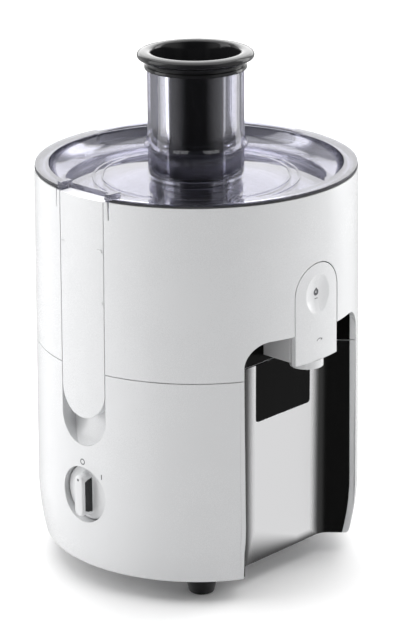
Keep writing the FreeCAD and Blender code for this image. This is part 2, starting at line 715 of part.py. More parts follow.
def make_lid():
    top = seal_z + seal_t + flange_t
    w_in = flange_in_r - lid_t
    bend = w_in - dish_low_r
    b_mid = arc_mid((dish_low_r, dish_low_z + bend), bend, -45)
    o_mid = arc_mid((dish_low_r, dish_low_z + bend), bend + lid_t, -45)
    peak = crest_z + crest_slope * lid_r + 5
    floor = [(tube_r - 1, dish_in_z), (tube_r, dish_in_z), (dish_low_r, dish_low_z),
             ("arc", b_mid, (w_in, dish_low_z + bend)), (w_in, peak), (flange_in_r, peak),
             (flange_in_r, dish_low_z + bend), ("arc", o_mid, (dish_low_r, dish_low_z - lid_t)),
             (tube_r - 1, dish_in_z - lid_t)]
    shell = revolve(floor)
    a = math.radians(crest_dir)
    tilt = math.degrees(math.atan(crest_slope))
    slab = Part.makeBox(400, 400, 60, V(-200, -200, 0))
    slab.rotate(V(0, 0, 0), Y, -tilt)
    slab.rotate(V(0, 0, 0), Z, crest_dir)
    slab.translate(V(0, 0, crest_z))
    shell = shell.cut(slab.cut(box(-200, 200, -200, 200, 0, top)))
    step = ring(flange_in_r, w_in, dish_low_z + bend - 1, top)
    flange = ring(lid_r, flange_in_r - eps, top - flange_t, top)
    skirt = ring(104.8, 102.8, seal_z - 6.5, top)
    shell = fuse([shell, step, flange, skirt])
    rib_low_z = rim_ring_z + rim_ring_h + 1.4
    ribs = [ring(r + 0.7, r - 0.7, rib_low_z, lid_floor_z(r) + 0.5) for r in (rib_in_r, rib_out_r)]
    bead = revolve([(tube_r - 1, bead_z - 2.6), (tube_r, bead_z - 2.6), (bead_r, bead_z),
                    (bead_r, bead_z + 1.4), (tube_r + 0.9, bead_z + 3.4), (tube_r, bead_z + 14),
                    (tube_r - 1, bead_z + 14)])
    tube = cyl(tube_r, tube_low_z, tube_top_z)
    solid = fuse([shell, tube, bead] + ribs)
    solid = solid.cut(cyl(tube_bore_r, tube_low_z - 1, tube_top_z + 1))
    w = arm_half + channel_gap
    reach = box(-body_r - 5, notch_x, -w, w, dish_low_z - 10, peak + 5)
    under = box(-body_r - 5, notch_x, -w - ear_gap, w + ear_gap, dish_low_z - 10, seal_z - 0.2)
    wall_plate = box(notch_x, notch_x + lid_t, -w - 3, w + 3, dish_low_z + 2.0, top)
    ears = []
    for s in (1, -1):
        y0, y1 = sorted((s * w, s * (w + ear_t)))
        ears.append(box(hinge_x - 4.0, notch_x + 0.5, y0, y1, hinge_z - 4.0, top + 2.2))
    solid = fuse([solid.cut(under).cut(reach), wall_plate] + ears)
    pin_hole = rod(hinge_pin_r, V(hinge_x, -w - ear_t - 1, hinge_z), Y, 2 * (w + ear_t) + 2)
    return solid.cut(pin_hole).removeSplitter()


def make_seal():
    band = ring(lid_r + 0.2, 105.0, seal_z, seal_z + seal_t)
    w = arm_half + channel_gap + ear_t + 0.6
    return band.cut(box(-body_r - 5, -90, -w, w, seal_z - 1, seal_z + 5))


def make_pusher():
    r = tube_bore_r - pusher_gap
    lip = pusher_lip_r
    z1 = pusher_top_z
    cup = pusher_cup_r
    z_seat = tube_top_z + part_gap
    pts = [(0, pusher_low_z), (r - 2.5, pusher_low_z),
           ("arc", arc_mid((r - 2.5, pusher_low_z + 2.5), 2.5, -45), (r, pusher_low_z + 2.5)),
           (r, z_seat), (collar_r - 0.8, z_seat), (collar_r, z_seat + 0.8),
           (collar_r, z_seat + collar_h - 0.8),
           (collar_r - 1.4, z_seat + collar_h), (collar_r - 1.2, z_seat + collar_h + 1.6),
           ("arc", (collar_r + 1.6, z1 - 5.0), (lip - 1.2, z1 - 3.9)),
           ("arc", (lip, z1 - 2.6), (lip - 1.4, z1 - 1.2)),
           ("arc", (lip - 5.0, z1 - 0.15), (pusher_mouth_r + 3.0, z1)),
           ("arc", (pusher_mouth_r + 0.8, z1 - 0.8), (pusher_mouth_r, z1 - 3.0)),
           (cup, z1 - 16), (cup, pusher_low_z + 3.0), (0, pusher_low_z + 3.0)]
    return revolve(pts)


# ---- locking arm ------------------------------------------------------------
def make_arm():
    slab = stadium(arm_half, arm_low_z, rim_z - 0.2, -body_r - 5, -body_r + arm_t)
    slab = slab.common(body_solid(0.1, arm_low_z - 5, rim_z + 5))
    hollow = stadium(arm_half - 2.4, arm_low_z + 2.4, rim_z - 14, -body_r + 3.4, -body_r + arm_t + 1)
    head = box(-body_r + arm_t - 1, hinge_x + 3.6, -arm_half, arm_half, hinge_z - 5.0, rim_z - 0.2)
    slab = slab.cut(hollow).fuse(head)
    ribs = [box(-body_r + 2, -body_r + arm_t, -arm_half + 1, arm_half - 1, z, z + 1.8)
            for z in (165, 205, 240)]
    nose = box(-body_r + 2, arm_tip_x, -7, 7, catch_z - 7.0, catch_z - 0.6)
    post = rod(push_post_r, V(-body_r + 2, 0, plunger_z), X, arm_tip_x + body_r - 2)
    solid = fuse([slab, nose, post] + ribs)
    pin_hole = rod(hinge_pin_r + run_gap, V(hinge_x, -40, hinge_z), Y, 80)
    return solid.cut(pin_hole).removeSplitter()


def make_catch():
    """Steel catch plate in the base's channel, above the arm's nose."""
    plate = box(channel_x - catch_t, channel_x, -9, 9, catch_z - 1.0, seam_z - 1.5)
    lip = box(channel_x - catch_reach, channel_x, -7, 7, catch_z, catch_z + 1.6)
    return fuse([plate, lip])


# ---- knob -------------------------------------------------------------------
def make_knob():
    disc = rod(knob_r, V(knob_face_x, 0, knob_z), X, knob_disc_t)
    disc = disc.makeFillet(1.0, [e for e in disc.Edges if abs(e.CenterOfMass.x - knob_face_x) < 0.01
                                 and e.Length > 10])
    w0, w1, h = blade_half_w, blade_half_w - 0.8, blade_half_l
    blade = plan_prism([(knob_face_x + 0.5, -w0), (blade_x + 0.6, -w1), (blade_x, -w1 + 0.6),
                        (blade_x, w1 - 0.6), (blade_x + 0.6, w1), (knob_face_x + 0.5, w0)],
                       knob_z - h, knob_z + h)
    stem = rod(stem_r, V(knob_face_x + knob_disc_t - eps, 0, knob_z), X, 6.5)
    knob = fuse([disc, blade, stem])
    bore = rod(switch_shaft_r, V(knob_face_x + 1.5, 0, knob_z), X, 20)
    return knob.cut(bore)


def make_switch():
    z0, z1 = knob_z - 14, knob_z + 14
    body = box(-93.5, -77.0, -14, 14, z0, z1)
    flange = box(-95.5, -93.5, -11, 11, knob_z - 19, knob_z + 19)
    tags = [box(-77.0, -72.0, y - 0.4, y + 0.4, knob_z - 3, knob_z + 3) for y in (-9, -3, 3, 9)]
    return fuse([body, flange] + tags).cut(rod(switch_shaft_r + run_gap, V(-100, 0, knob_z), X, 14))


def make_switch_shaft():
    return rod(switch_shaft_r, V(knob_face_x + 1.5, 0, knob_z), X, 17)


# ---- safety switch ----------------------------------------------------------
def plunger_back():
    """Plane of the spring's seat on the plunger's collar."""
    return channel_x + wall + 0.4 + plunger_collar_t


def make_plunger():
    seat = plunger_back()
    pin = rod(plunger_r, V(plunger_x, 0, plunger_z), X, seat - plunger_x)
    collar = rod(plunger_r + 1.5, V(seat - plunger_collar_t, 0, plunger_z), X, plunger_collar_t)
    tail_end = safety_switch_x - guide_t + 0.8
    tail = rod(plunger_tail_r, V(seat - eps, 0, plunger_z), X, tail_end - seat)
    return fuse([pin, collar, tail])


def make_plunger_spring():
    """Compression spring of the safety plunger, as a plain helical coil."""
    turns, wire, coil_r = 3, 0.35, 2.6
    x0 = plunger_back() + plunger_travel + wire + 0.2
    x1 = safety_switch_x - guide_t - wire - 0.1
    helix = Part.makeHelix((x1 - x0) / turns, x1 - x0, coil_r)
    section = Part.Wire(Part.makeCircle(wire, V(coil_r, 0, 0), Y))
    coil = Part.Wire(helix.Edges).makePipeShell([section], True, True)
    coil.rotate(V(0, 0, 0), Y, 90)
    coil.translate(V(x0, 0, plunger_z))
    return coil


def make_safety_switch():
    x0 = safety_switch_x
    body = box(x0, x0 + 10, -10, 10, plunger_z - 6, plunger_z + 6)
    guide = box(x0 - guide_t, x0, -8, 8, plunger_z - 8, plunger_z + 8)
    bore = rod(plunger_tail_r + 0.1, V(x0 - guide_t - 1, 0, plunger_z), X, guide_t + 1 + plunger_travel + 2)
    return fuse([body, guide]).cut(bore)


# ---- small fixed pieces -----------------------------------------------------
def make_shaft_seal():
    z0 = boss_z - wall
    pts = [(shaft_r + 0.3, z0 + 0.8), (6.0, z0 - 1.2), (9.2, z0 - 1.2), (9.2, boss_z), (10.6, boss_z),
           (10.6, boss_z + 1.0), (6.2, boss_z + 1.0), (shaft_r + 0.3, z0 + 1.8)]
    return revolve(pts)


def make_inlet():
    y0 = body_radius(inlet_z) - wall
    tube = rod(7.2, V(0, y0 - 6, inlet_z), Y, 6 + wall)
    flange = rod(9.5, V(0, y0 + wall - 0.6, inlet_z), Y, 1.6)
    nut = rod(9.5, V(0, y0 - 6.0, inlet_z), Y, 3.0)
    flange = flange.cut(body_solid(0, shell_z, seam_z))
    return fuse([tube, flange, nut]).cut(rod(3.6, V(0, y0 - 10, inlet_z), Y, 30))


def make_capacitor():
    can = box(58, 84, -8, 8, plate_top_z, plate_top_z + 24)
    return can.makeFillet(1.5, [e for e in can.Edges if e.BoundBox.ZLength > 5])


def make_board():
    board = box(-32, 32, 58, 86, plate_top_z + 7, plate_top_z + 8.6)
    legs = [cyl(2.2, plate_top_z, plate_top_z + 7 + eps, x, y) for x in (-28, 28) for y in (61, 71)]
    relay = box(-6, 14, 62, 80, plate_top_z + 8.6 - eps, plate_top_z + 24)
    block = box(-28, -12, 64, 80, plate_top_z + 8.6 - eps, plate_top_z + 18)
    return fuse([board, relay, block] + legs)


def build():
    parts["motor_housing"], parts["bay_shell"] = make_housing()
    parts["bay_liner"] = make_liner()
    parts["bay_window"] = make_window()
    parts["base_plate"] = make_base_plate()
    for name, deg in foot_places:
        foot = make_foot()
        foot.translate(V(*polar(foot_pitch_r, deg), 0))
        parts[name] = foot
    parts["base_screws"] = Part.makeCompound([screw(*polar(post_pitch_r, d), plate_z - 2.0, 16.0)
                                              for d in post_angles])
    parts["stator_core"] = make_stator()
    parts["field_windings"] = make_field_windings()
    parts["upper_bracket"] = make_upper_bracket()
    parts["lower_bracket"] = make_lower_bracket()
    parts["tie_screws"] = make_tie_screws()
    parts["upper_bearing"] = make_bearing(upper_bracket_z - 0.6)
    parts["lower_bearing"] = make_bearing(lower_bracket_z - bearing_h + bracket_t)
    parts["brush_holders"], parts["carbon_brushes"] = brush_pieces()
    parts["motor_mounts"] = make_mounts()
    length = bracket_t + mount_h + 6.0
    parts["mount_screws"] = Part.makeCompound([screw(*polar(mount_pitch_r, d), upper_bracket_z - 2.0,
                                                     length, screw_r, 5.0) for d in corners])
    parts["shaft_seal"] = make_shaft_seal()
    parts["cord_inlet"] = make_inlet()
    parts["suppression_capacitor"] = make_capacitor()
    parts["circuit_board"] = make_board()
    parts["rotary_switch"] = make_switch()
    parts["safety_switch"] = make_safety_switch()
    parts["plunger_spring"] = make_plunger_spring()
    parts["catch_plate"] = make_catch()
    parts["motor_shaft"] = cyl(shaft_r, 27.0, coupling_top_z - 6)
    parts["armature_core"] = make_armature()
    parts["armature_winding"] = make_armature_winding()
    parts["commutator"] = make_commutator()
    parts["cooling_fan"] = make_fan()
    parts["drive_coupling"] = coupling_solid(0, coupling_low_z, coupling_top_z).cut(
        cyl(shaft_r, coupling_low_z - 1, coupling_top_z - 6))
    parts["pulp_drum"] = make_drum()
    parts["bay_roof"] = make_bay_roof()
    parts["juice_collector"] = make_collector()
    parts["drip_stop_flap"] = make_flap()
    parts["spout_nozzle"] = make_nozzle()
    parts["basket_hub"] = make_hub()
    parts["grater_disc"] = make_grater()
    parts["filter_mesh"] = make_mesh_wall()
    parts["basket_rim"] = make_rim_ring()
    parts["lid"] = make_lid()
    parts["lid_seal"] = make_seal()
    parts["pusher"] = make_pusher()
    parts["locking_arm"] = make_arm()
    w = arm_half + channel_gap + ear_t
    parts["arm_hinge_pin"] = rod(hinge_pin_r, V(hinge_x, -w, hinge_z), Y, 2 * w)
    parts["safety_plunger"] = make_plunger()
    parts["rotary_knob"] = make_knob()
    parts["switch_shaft"] = make_switch_shaft()


build()
os.makedirs("parts", exist_ok=True)
for name, shape in parts.items():
    shape.exportStep(f"parts/{name}.step")
    bb = shape.BoundBox
    print(f"{name:24s} solids {len(shape.Solids)} valid {shape.isValid()} vol {shape.Volume / 1000:8.2f} cm3 "
          f"x {bb.XMin:7.1f} {bb.XMax:7.1f} y {bb.YMin:7.1f} {bb.YMax:7.1f} z {bb.ZMin:6.1f} {bb.ZMax:6.1f}")
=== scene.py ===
"""Finishes and fine pieces of a centrifugal juicer, laid around its engineered frame.

Metres throughout. The spout faces -Y, the locking arm and the knob face -X, +Z is up.
"""
import json
import math

import bmesh
import bpy
import numpy as np
from bpy.props import FloatProperty, FloatVectorProperty, IntProperty, PointerProperty
from mathutils import Matrix, Quaternion, Vector
from mathutils.bvhtree import BVHTree


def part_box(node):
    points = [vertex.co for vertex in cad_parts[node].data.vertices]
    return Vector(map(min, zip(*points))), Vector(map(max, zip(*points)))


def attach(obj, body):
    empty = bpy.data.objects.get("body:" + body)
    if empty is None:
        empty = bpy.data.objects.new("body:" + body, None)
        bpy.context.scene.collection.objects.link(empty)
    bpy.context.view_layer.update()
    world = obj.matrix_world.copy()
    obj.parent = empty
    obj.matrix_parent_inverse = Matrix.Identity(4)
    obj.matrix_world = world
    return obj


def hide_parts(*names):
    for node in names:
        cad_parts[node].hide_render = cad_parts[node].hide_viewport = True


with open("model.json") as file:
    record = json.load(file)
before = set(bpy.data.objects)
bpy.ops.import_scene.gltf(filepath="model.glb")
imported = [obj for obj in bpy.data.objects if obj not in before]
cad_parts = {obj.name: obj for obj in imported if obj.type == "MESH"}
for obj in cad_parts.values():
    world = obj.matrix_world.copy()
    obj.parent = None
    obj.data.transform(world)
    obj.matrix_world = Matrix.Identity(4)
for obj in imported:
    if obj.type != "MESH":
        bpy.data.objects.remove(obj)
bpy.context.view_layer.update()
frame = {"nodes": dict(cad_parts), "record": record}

bl_info = {
    "name": "Centrifugal juicer looks",
    "version": (1, 0, 0),
    "blender": (4, 5, 0),
    "location": "View3D > Sidebar > Juicer",
    "description": "Builds the finishes and fine pieces of a countertop centrifugal juicer",
    "category": "Object",
}

MM = 0.001
SLOTS = {entry["node"]: entry["material_slot"] for entry in frame["record"]["subparts"]}
BODIES = frame["record"]["behaviour"]["bodies"]
BODY_OF = {node: body for body, nodes in BODIES.items() for node in nodes}

# Edges that turn by more than these angles, in degrees, are shaded sharp.
COPY_CREASE = 28.0
FLAT_CREASE = 32.0
TURNED_CREASE = 40.0

CORNER_STEPS = 5
SLOT_STEPS = 12
INK_RISE = 0.04 * MM
OWN_MERGE = 0.001 * MM
CAD_MERGE = 0.002 * MM

# Directions that marks are read from, and where a drawn ring's last point stands, in degrees.
LEFT = (-1.0, 0.0, 0.0)
FRONT = (0.0, -1.0, 0.0)
RING_END = 345

# A Wave Texture makes one band per metre along an axis at this scale.
WAVE_BANDS = math.tau / 20.0


def low(node):
    """Lowest corner of a frame node."""
    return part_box(node)[0]


def high(node):
    """Highest corner of a frame node."""
    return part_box(node)[1]


# ---- shader arithmetic --------------------------------------------------------
class Wire:
    """A socket that takes part in arithmetic and adds its Math nodes."""

    def __init__(self, owner, socket):
        self.owner = owner
        self.socket = socket

    def math(self, operation, *others):
        """This value and the others through one Math node."""
        settings = {"operation": operation}
        values = {0: self}
        values.update({place + 1: other for place, other in enumerate(others)})
        return self.owner.wire("ShaderNodeMath", settings, values)

    def flipped(self, operation, other):
        """The same with this value in second place."""
        return self.owner.wire("ShaderNodeMath", {"operation": operation}, {0: other, 1: self})

    def __add__(self, other):
        return self.math("ADD", other)

    def __radd__(self, other):
        return self.flipped("ADD", other)

    def __sub__(self, other):
        return self.math("SUBTRACT", other)

    def __rsub__(self, other):
        return self.flipped("SUBTRACT", other)

    def __mul__(self, other):
        return self.math("MULTIPLY", other)

    def __rmul__(self, other):
        return self.flipped("MULTIPLY", other)

    def __truediv__(self, other):
        return self.math("DIVIDE", other)

    def __rtruediv__(self, other):
        return self.flipped("DIVIDE", other)

    def __pow__(self, other):
        return self.math("POWER", other)

    def __rpow__(self, other):
        return self.flipped("POWER", other)

    def above(self, other):
        """1 where this is greater, else 0."""
        return self.math("GREATER_THAN", other)

    def between(self, start, end):
        """0 below start, 1 above end, eased between them."""
        values = {0: self, 1: start, 2: end, 3: 0.0, 4: 1.0}
        return self.owner.wire("ShaderNodeMapRange", {"interpolation_type": "SMOOTHSTEP"}, values)


class Tree:
    """A node tree whose nodes all come from one method."""

    def __init__(self, tree):
        self.tree = tree

    def node(self, kind, settings=None, sockets=None):
        """Adds one node: its settings first, then the values or links of its sockets."""
        made = self.tree.nodes.new(kind)
        for key, value in (settings or {}).items():
            setattr(made, key, value)
        for key, value in (sockets or {}).items():
            if isinstance(value, Wire):
                self.link(value, made.inputs[key])
            else:
                made.inputs[key].default_value = value
        return made

    def wire(self, kind, settings=None, sockets=None, output=0):
        """Adds one node and hands back one of its outputs."""
        return Wire(self, self.node(kind, settings, sockets).outputs[output])

    def link(self, wire, socket):
        """Leads a wire into a node's input."""
        self.tree.links.new(wire.socket, socket)


class Sheet(Tree):
    """The node tree of one finish."""

    def __init__(self, name):
        self.material = bpy.data.materials.new(name)
        self.material.use_nodes = True
        super().__init__(self.material.node_tree)
        self.tree.nodes.clear()
        self.output = self.node("ShaderNodeOutputMaterial")

    def place(self):
        """Object coordinates, in metres."""
        return self.wire("ShaderNodeTexCoord", output="Object")

    def axis(self, letter):
        """One of the object coordinates."""
        return self.wire("ShaderNodeSeparateXYZ", None, {0: self.place()}, output=letter)

    def mapped(self, scale):
        """Object coordinates, stretched."""
        return self.wire("ShaderNodeMapping", None, {"Vector": self.place(), "Scale": scale})

    def noise(self, scale, detail, vector=None):
        """Cloudy pattern about 0.5."""
        values = {"Vector": vector or self.place(), "Scale": scale, "Detail": detail}
        return self.wire("ShaderNodeTexNoise", None, values)

    def waves(self, scale, direction, vector=None):
        """Even bands across a direction."""
        values = {"Vector": vector or self.place(), "Scale": scale}
        return self.wire("ShaderNodeTexWave", {"bands_direction": direction}, values, output="Fac")

    def blend(self, factor, first, second):
        """Colour between first and second."""
        values = {0: factor, 6: first, 7: second}
        return self.wire("ShaderNodeMix", {"data_type": "RGBA"}, values, output=2)

    def mixed(self, factor, first, second):
        """Shader between first and second."""
        return self.wire("ShaderNodeMixShader", None, {0: factor, 1: first, 2: second})

    def bump(self, height, distance, strength, normal=None):
        """Normals tilted by a height pattern."""
        values = {"Height": height, "Distance": distance, "Strength": strength}
        if normal:
            values["Normal"] = normal
        return self.wire("ShaderNodeBump", None, values)

    def soft_edges(self, radius):
        """Normals that roll over every edge, as a moulded or pressed edge does."""
        return self.wire("ShaderNodeBevel", {"samples": 4}, {"Radius": radius})

    def closed(self, shader):
        """Ends the sheet with a shader and hands back its material."""
        self.link(shader, self.output.inputs["Surface"])
        return self.material

    def finish(self, sockets):
        """Ends the sheet with a Principled shader."""
        return self.closed(self.wire("ShaderNodeBsdfPrincipled", None, sockets))


class Room(Tree):
    """The even light of the room, which varies with direction only."""

    def __init__(self, world):
        super().__init__(world.node_tree)
        self.background = self.tree.nodes["Background"]
        self.background.inputs["Color"].default_value = (1.0, 1.0, 1.0, 1.0)

    def along(self, direction):
        """How far a ray points along a direction, from -1 to 1."""
        ray = self.wire("ShaderNodeTexCoord", output="Generated")
        values = {0: ray, 1: tuple(direction)}
        return self.wire("ShaderNodeVectorMath", {"operation": "DOT_PRODUCT"}, values, output="Value")


def shade(colour, factor):
    """Opaque colour, made lighter or darker by a factor."""
    return tuple(min(1.0, part * factor) for part in colour[:3]) + (1.0,)


# ---- finishes -----------------------------------------------------------------
def flow_marks(sheet, colour):
    """Faint flow marks of moulded plastic: their pattern and their colour."""
    flow = sheet.noise(9.0, 3.0)
    return flow, sheet.blend(flow, shade(colour, 0.965), shade(colour, 1.02))


def moulded(name, colour, roughness, grain, coat=0.0, edge=0.35 * MM):
    """Injection-moulded plastic: fine texture, faint flow marks, edges that roll over."""
    sheet = Sheet(name)
    flow, tone = flow_marks(sheet, colour)
    fine = sheet.noise(1900.0, 2.0)
    rough = roughness + (flow - 0.5) * 0.08 + (fine - 0.5) * 0.06
    normal = sheet.bump(fine, grain, 0.5, sheet.soft_edges(edge))
    return sheet.finish({"Base Color": tone, "Roughness": rough, "Normal": normal,
                         "Coat Weight": coat, "Coat Roughness": 0.06, "IOR": 1.5})


def white_with_painted_flank_shade(name, colour, half_width, front):
    """Moulded white with painted shade: the flanks of the grip blade that stands in front of the disc are
    painted gloss black.
    """
    inset, outset = 0.3 * MM, 0.5 * MM
    sheet = Sheet(name)
    flow, tone = flow_marks(sheet, colour)
    aside = sheet.axis("Y").math("ABSOLUTE")
    painted_shade_flank = aside.above(half_width - inset)
    ahead = (front - sheet.axis("X")).above(0.0)
    blade = (half_width + outset - aside).above(0.0)
    # Painted shade: the grip blade's flanks are made near black.
    tone = sheet.blend(painted_shade_flank * ahead * blade, tone, (0.008, 0.008, 0.009, 1.0))
    return sheet.finish({"Base Color": tone, "Roughness": 0.27 + (flow - 0.5) * 0.08,
                         "Normal": sheet.soft_edges(0.4 * MM), "Coat Weight": 0.2})


def deep_black(name, colour):
    """Black sheet that takes up nearly all the light of the bay."""
    sheet = Sheet(name)
    cloud = sheet.noise(20.0, 3.0)
    tone = sheet.blend(cloud, shade(colour, 0.7), shade(colour, 1.4))
    return sheet.finish({"Base Color": tone, "Roughness": 0.12 + cloud * 0.08, "Specular IOR Level": 0.06,
                         "Normal": sheet.soft_edges(0.4 * MM)})


def rubber(name, colour):
    """Matt rubber with a faint bloom and a fine grain."""
    sheet = Sheet(name)
    bloom = sheet.noise(60.0, 4.0)
    fine = sheet.noise(2500.0, 2.0)
    tone = sheet.blend(bloom, shade(colour, 0.8), shade(colour, 1.5))
    normal = sheet.bump(fine, 0.05 * MM, 0.6, sheet.soft_edges(0.3 * MM))
    return sheet.finish({"Base Color": tone, "Roughness": 0.62 + (bloom - 0.5) * 0.15,
                         "Normal": normal, "Specular IOR Level": 0.35})


def gloss_black(name, colour):
    """Polished black plastic with the faintest hairline swirls."""
    sheet = Sheet(name)
    cloud = sheet.noise(14.0, 3.0)
    hair = sheet.noise(900.0, 1.0, sheet.mapped((1.0, 1.0, 0.03)))
    tone = sheet.blend(cloud, shade(colour, 0.8), shade(colour, 1.3))
    normal = sheet.bump(hair, 0.004 * MM, 0.4, sheet.soft_edges(0.4 * MM))
    return sheet.finish({"Base Color": tone, "Roughness": 0.07 + cloud * 0.05, "Normal": normal,
                         "Specular IOR Level": 0.32, "IOR": 1.5})


def bay_mirror_painted_reflection(name, colour, bright_half, painted_dark_half):
    """Polished back plate whose colour carries painted dark reflections: it fades into gloss black towards
    the side walls and along a slanting foot.
    """
    foot_low, foot_high, least_lean = 16 * MM, 19 * MM, 4 * MM
    lean_from, slope = 24 * MM, 0.42
    sheet = Sheet(name)
    side = sheet.axis("X").math("ABSOLUTE").between(bright_half, painted_dark_half)
    lean = (lean_from - sheet.axis("X")) * slope
    foot = 1.0 - sheet.axis("Z").between(foot_low, lean.math("MAXIMUM", least_lean) + foot_high)
    # Painted dark reflection: near black towards the side walls and along the slanting foot.
    dark = side.math("MAXIMUM", foot * 0.93)
    hair = sheet.noise(420.0, 3.0, sheet.mapped((1.0, 1.0, 0.02)))
    tone = sheet.blend(dark, shade(colour, 1.0), (0.006, 0.006, 0.006, 1.0))
    return sheet.finish({"Base Color": tone, "Metallic": 1.0 - side * 0.9, "Roughness": 0.2 + hair * 0.06,
                         "Normal": sheet.bump(hair, 0.01 * MM, 0.2, sheet.soft_edges(0.4 * MM))})


def metal(name, colour, roughness, lay, stretch):
    """Metal with a grain that runs along one direction."""
    sheet = Sheet(name)
    grain = sheet.noise(lay, 3.0, sheet.mapped(stretch))
    cloud = sheet.noise(25.0, 2.0)
    tone = sheet.blend(grain, shade(colour, 0.86), shade(colour, 1.08))
    rough = roughness + (grain - 0.5) * 0.18 + (cloud - 0.5) * 0.08
    normal = sheet.bump(grain, 0.02 * MM, 0.35, sheet.soft_edges(0.25 * MM))
    return sheet.finish({"Base Color": tone, "Metallic": 1.0, "Roughness": rough, "Normal": normal})


def laminated(name, colour, sheet_t):
    """A stack of thin steel sheets, seen as fine lines round the sides."""
    sheet = Sheet(name)
    lines = sheet.waves(WAVE_BANDS / sheet_t, "Z")
    blot = sheet.noise(120.0, 3.0)
    tone = sheet.blend(lines * 0.7 + blot * 0.3, shade(colour, 0.6), shade(colour, 1.25))
    return sheet.finish({"Base Color": tone, "Metallic": 0.85, "Roughness": 0.42 + blot * 0.15,
                         "Normal": sheet.bump(lines, 0.08 * MM, 0.5)})


def wound_copper(name, colour, wire_d):
    """Enamelled wire, with its turns and painted shade in the darker gaps between them."""
    sheet = Sheet(name)
    turns = sheet.waves(WAVE_BANDS / wire_d, "DIAGONAL", sheet.mapped((1.0, 1.0, 0.35)))
    drift = sheet.noise(70.0, 3.0)
    # The dark end of each band is painted shade in the gap between two turns.
    tone = sheet.blend(turns * 0.8 + drift * 0.2, shade(colour, 0.3), shade(colour, 1.2))
    return sheet.finish({"Base Color": tone, "Metallic": 0.75, "Roughness": 0.3 + drift * 0.15,
                         "Coat Weight": 0.5, "Normal": sheet.bump(turns, 0.3 * MM, 0.8)})


def clear_smoke(name, light, dark):
    """Thin tinted clear plastic: light when seen square on, violet where it turns away."""
    tint_power, tint_share = 2.5, 0.95
    haze_slope, haze_least, gloss_share = 0.012, 0.001, 0.8
    sheet = Sheet(name)
    facing = sheet.wire("ShaderNodeLayerWeight", None, {"Blend": 0.5}, output="Facing")
    swirl = sheet.noise(6.0, 2.0)
    body = sheet.wire("ShaderNodeBsdfTransparent", None, {"Color": shade(light, 1.0)})
    rim = sheet.wire("ShaderNodeBsdfTransparent", None, {"Color": shade(dark, 1.0)})
    film = sheet.mixed((facing ** tint_power) * tint_share + (swirl - 0.5) * 0.04, body, rim)
    haze = sheet.wire("ShaderNodeBsdfPrincipled", None,
                      {"Base Color": (0.52, 0.51, 0.6, 1.0), "Roughness": 0.5, "Specular IOR Level": 0.0})
    film = sheet.mixed(facing * haze_slope + haze_least, film, haze)
    gloss = sheet.wire("ShaderNodeBsdfPrincipled", None,
                       {"Base Color": (0.93, 0.93, 0.96, 1.0), "Metallic": 1.0, "Roughness": 0.03,
                        "Normal": sheet.bump(swirl, 0.15 * MM, 0.15, sheet.soft_edges(0.3 * MM))})
    fresnel = sheet.wire("ShaderNodeFresnel", None, {"IOR": 1.55})
    return sheet.closed(sheet.mixed(fresnel * gloss_share, film, gloss))


def printed(name, colour):
    """Matt pad-printed ink."""
    sheet = Sheet(name)
    speck = sheet.noise(1500.0, 2.0)
    tone = sheet.blend(speck, shade(colour, 0.85), shade(colour, 1.2))
    return sheet.finish({"Base Color": tone, "Roughness": 0.45 + speck * 0.1})


def board_green(name, colour):
    """Circuit board lacquer over lighter copper tracks."""
    sheet = Sheet(name)
    place = {"Vector": sheet.place(), "Scale": 160.0}
    tracks = sheet.wire("ShaderNodeTexVoronoi", {"distance": "MANHATTAN"}, place, output="Distance")
    tone = sheet.blend(tracks.above(0.42), shade(colour, 0.8), shade(colour, 1.6))
    return sheet.finish({"Base Color": tone, "Roughness": 0.35, "Coat Weight": 0.3})


def floor_finish(name, colour):
    """Smooth pale paper."""
    sheet = Sheet(name)
    cloud = sheet.noise(1.5, 2.0)
    tone = sheet.blend(cloud, shade(colour, 0.995), shade(colour, 1.0))
    return sheet.finish({"Base Color": tone, "Roughness": 0.6, "Specular IOR Level": 0.2})


MADE = {}


